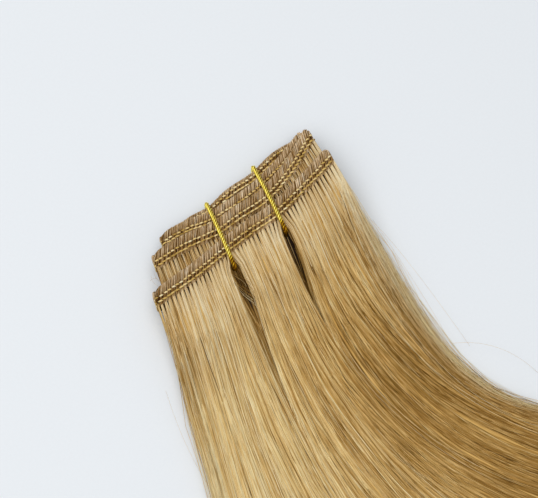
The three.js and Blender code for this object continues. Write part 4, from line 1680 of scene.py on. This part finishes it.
@dataclass
class WeftBand:
    """The sewn band: its body, the hair turned over its top edge and two lines of stitching."""

    path: StripPath
    rng: Chance
    node: str = "weft_strip"
    sides: int = 14
    hairs_each_mm: float = 6.0
    tuft_pitch: float = 1.0
    hair_lean: float = 0.42
    stitch_long: float = 0.95
    stitch_half: float = 0.195
    stitch_tall: float = 1.3
    stitch_shift: float = 0.25
    stitch_dip: float = 0.28
    stitch_lift: float = 0.32
    stitch_slant: float = 0.2
    corner_cut: float = 1.5
    corner_long: float = 1.9
    corner_past: float = 1.0

    def top_edge(self, length: Array) -> Array:
        """Gives the height of the band's top edge, which is rounded off at its open end and at each fold.

        Args:
            length: Distances along the strip.

        Returns:
            The heights above the lower edge.
        """
        path = self.path
        middles = [0.0]
        middles += [path.length[first] + self.corner_past for first, _ in path.fold_ranges.values()]
        middles += [path.length[first] - self.corner_past for first, _ in path.row_ranges.values()]
        cuts = [np.exp(-(((length - middle) / self.corner_long) ** 2)) for middle in middles]
        return SIZES.strip_height - self.corner_cut * np.max(cuts, axis=0)

    def body(self) -> Piece:
        """Models the flat body of the band, rolled up from a grid with rounded edges.

        Returns:
            The closed band.
        """
        path = self.path

        def place(along: Array, around: Array) -> Array:
            """Puts a share along and round the band on its rounded section."""
            length = along * path.length[-1]
            turn = 2 * np.pi * around
            wide = np.sign(np.cos(turn)) * np.abs(np.cos(turn)) ** 0.35 * SIZES.strip_height / 2
            share = wide / SIZES.strip_height + 0.5
            wide = share * self.top_edge(length) - SIZES.strip_height / 2
            thick = np.sign(np.sin(turn)) * np.abs(np.sin(turn)) ** 0.6 * SIZES.strip_thick / 2
            points = path.read(path.centre, length)
            points = points + path.read(path.widthways, length) * wide[:, None]
            return in_frame(points + path.read(path.outward, length) * thick[:, None])

        def shade(along: Array, around: Array) -> Array:
            """Paints shade on the face between the lines of stitching, and a lighter painted shade over the
            rest of it.
            """
            wide = (1 + np.cos(2 * np.pi * around)) * SIZES.strip_height / 2
            upper, lower = path.read(path.lines, along * path.length[-1]).T
            return 0.2 + 0.6 * ((wide > lower - 0.6) & (wide < upper + 0.5))

        columns = len(path.length) * 2
        piece = shaped_grid("weft_band", columns, self.sides, place, shade, open_ends=True)
        stretch_flow(piece, path.length[-1], 2 * SIZES.strip_height)
        return piece

    def _hair_spots(self) -> tuple[Array, ...]:
        """Spaces the turned hairs over the rows and the folds.

        Returns:
            Each hair's distance along the strip, its place across the bundle and its lines of stitching.
        """
        path = self.path
        runs = []
        for ranges in (path.row_ranges, path.fold_ranges):
            for row, (first, last) in ranges.items():
                count = int((path.length[last] - path.length[first]) * self.hairs_each_mm)
                spot = np.linspace(path.length[first], path.length[last], count)
                coord = path.length[first] - spot
                if ranges is path.row_ranges:
                    coord, spot = path.row_spots(row, count)
                runs.append((spot, coord, np.tile(np.array(STITCH_LINES[row]), (count, 1))))
        return tuple(np.concatenate(values) for values in zip(*runs))

    def turned_hairs(self) -> Strands:
        """Lays the short hairs that cross each row and turn over its top edge, in small tufts.

        Returns:
            The strands.
        """
        path, rng = self.path, self.rng
        spot, coord, line = self._hair_spots()
        coord = coord + 0.12 * np.sin(coord * 1.9) + 0.2 * np.sin(coord * 0.83)
        count = len(spot)
        tuft = np.floor(coord / self.tuft_pitch)
        in_tuft = coord / self.tuft_pitch - tuft - 0.5
        in_pair = coord / SIZES.stitch_pitch - np.floor(coord / SIZES.stitch_pitch) - 0.5
        top = self.top_edge(spot - self.hair_lean * 3)[:, None]
        upper, lower = line[:, :1], line[:, 1:]
        # Nine stations up each hair, from under the lower stitches over the top edge to the back.
        up = np.hstack((
            lower - 1.4, lower, (upper + lower) / 2, upper, mix(upper, top, 0.35), mix(upper, top, 0.7),
            top - 0.2, top + 0.06, top - 0.2,
        ))
        out = np.array((0.25, 0.55, 0.6, 0.6, 0.66, 0.64, 0.45, 0.05, -0.4))
        by_tuft = np.array((0.0, 0.0, 0.1, 0.4, 0.42, 0.38, 0.25, 0.15, 0.15)) * self.tuft_pitch
        by_pair = np.array((0.2, 0.2, 0.3, 0.1, 0.0, 0.0, 0.0, 0.0, 0.0)) * SIZES.stitch_pitch
        tilt = rng.normal(0, 0.42, count) + (vary(tuft, Own.TUFT_TILT) - 0.5) * 0.5
        lean = tilt[:, None] * np.linspace(-0.3, 0.7, len(out)) - self.hair_lean * (up - lower)
        # The coil runs from right to left, so a move to the right is a move back along the strip.
        place = spot[:, None] + in_tuft[:, None] * by_tuft + in_pair[:, None] * by_pair + lean
        bulge = np.array((0.2, 0.0, 0.1, 0.0, 1.0, 1.0, 0.7, 0.0, 0.0))
        rise = (0.22 * (1 - (2 * in_tuft) ** 2) + rng.random(count) * 0.14)[:, None] * bulge
        heights = up + rng.normal(0, 0.06, (count, 1)) - SIZES.strip_height / 2
        centre = path.read(path.centre, place)
        widthways = path.read(path.widthways, place)
        outward = path.read(path.outward, place)
        route = centre + widthways * heights[..., None] + outward * (out + rise)[..., None]
        radius = mix(0.1, 0.18, rng.random(count))[:, None] * np.ones(len(out))
        # Each hair's own tone and its tuft's, with painted shade at the edges of each tuft.
        own = rng.normal(0, 0.18, count) + (vary(tuft, Own.TUFT_TONE) - 0.5) * 0.2 - 0.28 * (2 * in_tuft) ** 2
        # Painted shade along the stitching, easing off up the band; over the top edge the hairs are a little
        # lighter.
        stitch_shade = np.array((0.1, 0.32, 0.4, 0.3, 0.04, 0.0, -0.05, -0.1, 0.0))
        tone = np.clip(0.68 + own[:, None] - stitch_shade, 0.03, 0.97)
        sideways = np.cross(path.read(path.widthways, spot), UPWARD)
        return Strands(route, radius, tone, sideways)

    def one_stitch(self) -> tuple[Array, Array, Array]:
        """Models one stitch: two short plies of thread that lie side by side and dip at their ends.

        Returns:
            The stitch's points in millimetres, and its four-sided and three-sided faces.
        """
        deselect()
        lying = (0, math.pi / 2, 0)
        bpy.ops.mesh.primitive_uv_sphere_add(segments=5, ring_count=5, radius=1.0, rotation=lying)
        stitch = bpy.context.active_object
        bpy.ops.object.transform_apply(location=False, rotation=True, scale=False)
        edit_all()
        half = self.stitch_half
        bpy.ops.transform.resize(value=(self.stitch_long, half, half * self.stitch_tall))
        bpy.ops.transform.translate(value=(0, half * 0.8, 0))
        bpy.ops.mesh.duplicate_move(TRANSFORM_OT_translate={"value": (self.stitch_shift, -half * 1.6, 0)})
        bpy.ops.object.mode_set(mode="OBJECT")
        mesh = stitch.data
        points = mesh_points(mesh)
        points[:, 2] -= self.stitch_dip * (points[:, 0] / self.stitch_long) ** 2
        faces = [list(polygon.vertices) for polygon in mesh.polygons]
        quads = np.array([face for face in faces if len(face) == 4])
        triangles = np.array([face for face in faces if len(face) == 3])
        bpy.data.objects.remove(stitch)
        bpy.data.meshes.remove(mesh)
        return points, quads, triangles

    def stitching(self) -> Piece:
        """Sews two lines of stitches along the rows and the folds of the strip.

        Returns:
            One piece that holds every stitch.
        """
        path, rng = self.path, self.rng
        points, quads, triangles = self.one_stitch()
        spots = np.arange(SIZES.stitch_pitch / 2, path.length[-1], SIZES.stitch_pitch)
        spots = spots[path.shows(spots)]
        all_points, tones = [], []
        for line in (0, 1):
            place = spots + line * SIZES.stitch_pitch / 2 + rng.normal(0, 0.1, len(spots))
            up = path.read(path.lines, place)[:, line] - SIZES.strip_height / 2
            up = up + rng.normal(0, 0.07, len(spots))
            widthways = path.read(path.widthways, place)
            outward = path.read(path.outward, place)
            run = np.cross(widthways, outward)
            slant = self.stitch_slant + rng.normal(0, 0.06, len(spots))
            along = run * np.cos(slant)[:, None] + widthways * np.sin(slant)[:, None]
            beside = np.cross(outward, along)
            lift = SIZES.strip_thick / 2 + self.stitch_lift
            centre = path.read(path.centre, place) + widthways * up[:, None] + outward * lift
            axes = np.stack((along, beside, outward), axis=1)
            sized = points * np.array((mix(1.0, 1.2, line), 1.0, 1.0))
            all_points.append(centre[:, None, :] + np.einsum("pk,skx->spx", sized, axes))
            tone = mix(0.7, 0.56, line) + rng.normal(0, 0.17, len(spots))
            tones.append(np.repeat(np.clip(tone, 0.05, 0.97), len(points)))
        stitched = np.concatenate(all_points)
        shift = (np.arange(len(stitched)) * len(points))[:, None, None]
        mesh = mesh_from_faces(
            "weft_stitching",
            in_frame(stitched.reshape(-1, 3)),
            (quads[None] + shift).reshape(-1, 4),
            (triangles[None] + shift).reshape(-1, 3),
        )
        put_value(mesh, "tone", np.concatenate(tones))
        return finish_object("weft_stitching", mesh)

    def build(self, finishes: dict[str, Material]) -> None:
        """Makes the band, its turned hairs and its stitching and dresses them.

        Args:
            finishes: The materials named body, hairs and stitching.
        """
        hand_over(self.body(), finishes["body"], self.node)
        hairs = self.turned_hairs().piece("weft_turned_hair")
        hand_over(hairs, finishes["hairs"], self.node)
        hand_over(self.stitching(), finishes["stitching"], self.node)


def stretch_flow(piece: Piece, first: float, second: float) -> None:
    """Scales a piece's flow map from shares to millimetres."""
    layer = piece.data.uv_layers[FLOW_MAP]
    flat = np.empty(len(piece.data.loops) * 2, dtype=np.float32)
    layer.data.foreach_get("uv", flat)
    scaled = flat.reshape(-1, 2) * np.array((first, second), dtype=np.float32)
    layer.data.foreach_set("uv", scaled.ravel())


@dataclass
class ElasticTie:
    """A gold elastic loop: three twisted plies drawn taut round the stack."""

    node: str
    across: float
    flow: HairFlow
    plies: int = 3
    ply_sides: int = 8
    ply_radius: float = 0.3 * SIZES.tie_thick
    ply_offset: float = 0.27 * SIZES.tie_thick
    lead: float = 3.9
    step: float = 0.24
    corner_step: float = 0.2

    def loop(self) -> tuple[Array, Array]:
        """Finds the closed line that the taut tie takes round the corners of the layers.

        Returns:
            Points of the loop as distance along the flow and height, and the outward angle at each.
        """
        reach = SIZES.tie_thick / 2 + SIZES.tie_clear
        stack_top = layer_height(0) + SIZES.strip_thick / 2
        corners = [(SIZES.tie_dive - reach, stack_top), (SIZES.tie_dive - reach, SIZES.stack_floor)]
        here = np.array((self.across,))
        for turn in range(len(ROWS)):
            for layer in (upper_layer(turn), under_layer(turn)):
                top_edge = float(self.flow.meet(here, layer.lower_edge)[0]) - SIZES.strip_height
                corners.append((top_edge, layer.height + SIZES.strip_thick / 2))
                corners.append((top_edge, layer.height - SIZES.strip_thick / 2))
        hull = convex_hull(corners)
        points, angles = [], []
        for i, corner in enumerate(hull):
            before = hull[i - 1]
            after = hull[(i + 1) % len(hull)]
            into = math.atan2(corner[1] - before[1], corner[0] - before[0]) - math.pi / 2
            turn = math.atan2(after[1] - corner[1], after[0] - corner[0]) - math.pi / 2 - into
            turn %= 2 * math.pi
            steps = max(1, math.ceil(turn / self.corner_step))
            for k in range(steps + 1):
                out = into + turn * k / steps
                points.append((corner[0] + reach * math.cos(out), corner[1] + reach * math.sin(out)))
                angles.append(out)
        return np.array(points), np.unwrap(np.array(angles))

    def ply(self, number: int) -> Piece:
        """Models one ply of the cord: a grid rolled round a helix that runs along the loop.

        Args:
            number: Which ply it is.

        Returns:
            The closed ply.
        """
        points, angles = self.loop()
        closed = np.vstack((points, points[:1]))
        turned = np.append(angles, angles[0] + 2 * math.pi)
        lengths = np.concatenate(((0.0,), np.cumsum(np.linalg.norm(np.diff(closed, axis=0), axis=1))))
        total = lengths[-1]
        turns = round(total / self.lead)
        root = np.array((self.across,)), np.zeros(1)
        start = self.flow.point(*root)[0]
        heading = float(self.flow.heading(*root)[0])
        along = np.array((math.cos(heading), math.sin(heading), 0.0))
        beside = np.array((-along[1], along[0], 0.0))

        def twist(run: Array) -> Array:
            """Gives how far the ply has turned about the cord at a share along it."""
            return 2 * np.pi * (turns * run + number / self.plies)

        def place(around: Array, run: Array) -> Array:
            """Puts a share round and along the ply on its helix."""
            length = run * total
            t = np.interp(length, lengths, closed[:, 0])
            z = np.interp(length, lengths, closed[:, 1])
            angle = np.interp(length, lengths, turned)
            outward = np.cos(angle)[:, None] * along + np.sin(angle)[:, None] * UPWARD
            spin = 2 * np.pi * around
            out = self.ply_offset * np.cos(twist(run)) + self.ply_radius * np.cos(spin)
            side = self.ply_offset * np.sin(twist(run)) + self.ply_radius * np.sin(spin)
            centre = np.column_stack((start[0] + t * along[0], start[1] + t * along[1], z))
            return in_frame(centre + outward * out[:, None] + beside * side[:, None])

        def shade(around: Array, run: Array) -> Array:
            """Paints shade in the grooves between the plies and on the end that dives into the hair."""
            outer = np.cos(2 * np.pi * around - twist(run))
            dive = 0.75 * ease((np.interp(run * total, lengths, closed[:, 0]) - 1.2) / 3.4)
            return 0.75 * (1 - ease((outer + 0.3) / 1.3)) + dive

        rows = math.ceil(total / self.step)
        piece = shaped_grid(f"{self.node}_ply", self.ply_sides, rows, place, shade, open_ends=False)
        stretch_flow(piece, 2 * np.pi * self.ply_radius, total)
        return piece

    def build(self, finish: Material) -> None:
        """Makes the plies, joins them into one cord and dresses it in a finish."""
        plies = [self.ply(number) for number in range(self.plies)]
        hand_over(join_pieces(plies, f"{self.node}_cord"), finish, self.node)


def convex_hull(points: list[Pair]) -> list[Pair]:
    """Finds the corners that a taut loop touches.

    Args:
        points: The corners to go round.

    Returns:
        The outermost corners, anticlockwise.
    """

    def half(ordered: list[Pair]) -> list[Pair]:
        """Keeps the corners of one side."""
        kept: list[Pair] = []
        for point in ordered:
            while len(kept) > 1:
                (ax, az), (bx, bz) = kept[-2], kept[-1]
                if (bx - ax) * (point[1] - az) - (bz - az) * (point[0] - ax) > 1e-9:
                    break
                kept.pop()
            kept.append(point)
        return kept[:-1]

    ordered = sorted(points)
    return half(ordered) + half(ordered[::-1])


@dataclass
class LooseHairs:
    """Single hairs that have slipped out of the sweep, fine enough to show only as faint lines."""

    flow: HairFlow
    rng: Chance
    node: str = "hair_front"
    stations: int = 15
    radius: float = 0.038
    crossing: int = 11
    over_top: int = 30
    edge: int = 420
    edge_stations: int = 10
    right_share: float = 0.88
    # Free hairs by the edges, each a curve through a start, a middle and an end in plan millimetres.
    curves: tuple[tuple[tuple[float, float, float], ...], ...] = (
        ((32.3, -89.4, 3.0), (44.6, -103.0, 4.0), (50.3, -120.9, 1.0)),
        ((43.0, -29.7, 8.0), (37.8, -63.3, 4.0), (30.9, -92.6, 3.0)),
        ((42.0, -27.1, 8.0), (42.1, -50.8, 6.0), (37.5, -94.5, 1.0)),
        ((34.4, -44.0, 7.0), (33.0, -64.8, 4.0), (29.9, -89.5, 3.0)),
        ((-42.8, 4.7, 12.6), (-43.6, 7.7, 13.0), (-42.5, 10.8, 12.8)),
        ((-41.1, 4.9, 12.6), (-41.8, 8.4, 13.2), (-44.2, 9.4, 12.6)),
        ((-39.3, 5.1, 12.6), (-41.8, 7.2, 13.4), (-40.5, 11.3, 13.2)),
        ((-4.5, -52.8, 9.0), (-6.2, -62.4, 9.2), (0.0, -72.4, 8.6)),
        ((-26.8, -43.2, 9.3), (-42.0, -57.4, 9.0), (-54.5, -73.4, 8.6)),
        ((14.9, -71.6, 8.6), (20.0, -73.8, 9.0), (23.6, -76.4, 8.2)),
        ((-68.0, -28.0, 5.0), (-76.0, -50.0, 2.0), (-80.5, -72.0, 0.6)),
    )

    def free(self) -> Strands:
        """Lays the free hairs through their three points."""
        points = np.array(self.curves)
        t = np.linspace(0, 1, self.stations)[None, :, None]
        first, middle, last = (points[:, i, None, :] for i in range(3))
        bend = 2 * middle - (first + last) / 2
        route = first * (1 - t) ** 2 + bend * 2 * t * (1 - t) + last * t**2
        shape = route.shape[:2]
        return Strands(route, np.full(shape, self.radius), np.full(shape, 0.45))

    def laid(self) -> Strands:
        """Lays fine hairs across the left parting and long ones aslant over the top of the sweep.

        Returns:
            The strands.
        """
        flow = self.flow
        cross, over = self.crossing, self.over_top
        place, turn, begin, long, bend, low = np.split(self.rng.random((cross + over, 6)), 6, axis=1)
        is_cross = (np.arange(cross + over) < cross)[:, None]
        t = np.linspace(0, 1, self.stations)[None, :]
        near = SIZES.tie_left + mix(-0.07, -0.03, place)
        across_from = np.where(is_cross, near, mix(-0.95, 0.95, place))
        slant = np.where(is_cross, mix(0.08, 0.12, turn), mix(-0.1, 0.1, turn))
        across = across_from + slant * ease(t)
        along_from = np.where(is_cross, mix(3, 12, begin), mix(8, 110, begin))
        run = np.where(is_cross, mix(8, 15, long), mix(45, 110, long))
        along = along_from + run * t
        plan = flow.point(across, along)
        plan = plan + flow.aside(across, along, mix(-1.2, 1.2, bend) * np.sin(np.pi * t))
        sink = np.where(is_cross, mix(0.6, 2.6, low), -0.1) * np.sin(np.pi * t)
        height = heap_top(Row.FRONT, across, along) - sink
        route = np.concatenate((plan, height[..., None]), axis=-1)
        crossing_tone = mix(0.04, 0.9, vary(np.arange(cross + over), Own.CROSSING_TONE) ** 2)[:, None]
        tone = np.where(is_cross, crossing_tone, 0.88) + np.zeros_like(along)
        return Strands(route, np.full(along.shape, self.radius * 1.8), tone)

    def wisps(self) -> Strands:
        """Lays fine hairs that leave the sweep along its outer edges and mostly join it again.

        Returns:
            The strands.
        """
        flow = self.flow
        pick, begin, long, place, bend, high = np.split(self.rng.random((self.edge, 6)), 6, axis=1)
        side = np.where(pick < self.right_share, 1.0, -1.0)
        t = np.linspace(0, 1, self.edge_stations)[None, :]
        along = mix(3, 45, begin) + mix(50, 150, long) * t
        across = side * mix(0.93, 0.99, place) + np.zeros_like(t)
        far = np.minimum(-1.4 * np.log(1 - 0.99 * bend), 6.0) * np.where(side > 0, 1.0, 0.5)
        drift = far * np.sin(np.pi * t**0.8)
        plan = flow.point(across, along) + flow.aside(across, along, side * drift)
        height = heap_top(Row.FRONT, across, along) * mix(0.3, 0.95, high)
        height = np.maximum(height - 0.8 * drift, 0.2)
        route = np.concatenate((plan, height[..., None]), axis=-1)
        tone = mix(0.62, 0.95, high) + np.zeros_like(along)
        return Strands(route, np.full(along.shape, self.radius * 1.2), tone)

    def build(self, finish: Material) -> None:
        """Lays the loose hairs and dresses them in a finish."""
        hand_over(self.free().piece("free_hairs"), finish, self.node)
        hand_over(self.laid().piece("laid_hairs"), finish, self.node)
        hand_over(self.wisps().piece("edge_hairs"), finish, self.node)


@dataclass
class Studio:
    """The pale table, the soft lights and the camera."""

    table_size: float = 6.0
    elevation: float = 70.0
    azimuth: float = -41.4
    lens: float = 110.0
    sensor: float = 36.0
    distance: float = 0.68495
    target: tuple[float, float, float] = (0.01936, 0.10357, 0.0)
    nearest: float = 0.01
    sky: float = 0.44
    sky_colour: Colour = (0.97, 0.985, 1.0)
    key: float = 14.6
    key_size: float = 1.9
    key_place: tuple[float, float, float] = (-0.22, 0.25, 1.15)

    def floor(self) -> None:
        """Lays the table."""
        deselect()
        bpy.ops.mesh.primitive_plane_add(size=self.table_size)
        floor = bpy.context.active_object
        floor.name = "table"
        floor.data.materials.append(TABLE.material())

    def lights(self) -> None:
        """Hangs one large soft light over the hair and lights the room evenly."""
        world = bpy.data.worlds.new("studio")
        world.use_nodes = True
        background = world.node_tree.nodes["Background"]
        background.inputs["Color"].default_value = (*self.sky_colour, 1.0)
        background.inputs["Strength"].default_value = self.sky
        bpy.context.scene.world = world
        bpy.ops.object.light_add(type="AREA", location=self.key_place)
        key = bpy.context.active_object
        key.name = "key_light"
        key.data.shape = "SQUARE"
        key.data.size = self.key_size
        key.data.energy = self.key
        aim = Vector(self.target) - key.location
        key.rotation_euler = aim.to_track_quat("-Z", "Y").to_euler()

    def camera(self) -> None:
        """Stands the camera at the viewing angle of the picture."""
        turn = math.radians(self.azimuth)
        rise = math.radians(self.elevation)
        back = Vector((math.sin(turn) * math.cos(rise), -math.cos(turn) * math.cos(rise), math.sin(rise)))
        right = Vector((math.cos(turn), math.sin(turn), 0.0))
        up = back.cross(right)
        place = Vector(self.target) + back * self.distance
        bpy.ops.object.camera_add()
        camera = bpy.context.active_object
        camera.matrix_world = Matrix.Translation(place) @ Matrix((right, up, back)).transposed().to_4x4()
        camera.data.lens = self.lens
        camera.data.sensor_width = self.sensor
        camera.data.clip_start = self.nearest
        bpy.context.scene.camera = camera

    def build(self) -> None:
        """Sets up the stage and the view."""
        self.floor()
        self.lights()
        self.camera()
        view = bpy.context.scene.view_settings
        view.view_transform = "Standard"
        view.look = "None"


def main() -> None:
    """Builds the weft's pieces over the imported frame, then the stage."""
    logging.basicConfig(level=logging.INFO, format="%(message)s")
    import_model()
    rng = np.random.default_rng(SEED)
    shared = SharedEffects()
    flow = HairFlow()
    path = StripPath(flow)
    hair = HAIR.material(shared)
    core = HAIR_CORE.material(shared)
    gold = GOLD.material(shared)
    band = {
        "body": BAND_BODY.material(shared),
        "hairs": BAND_HAIR.material(shared),
        "stitching": STITCH.material(shared),
    }
    for row in HAIR_ROWS:
        row.build(path, rng, hair, core)
    WeftBand(path, rng).build(band)
    ElasticTie("tie_left", SIZES.tie_left, flow).build(gold)
    ElasticTie("tie_right", SIZES.tie_right, flow).build(gold)
    LooseHairs(flow, rng).build(hair)
    Studio().build()


if __name__ == "__main__":
    main()
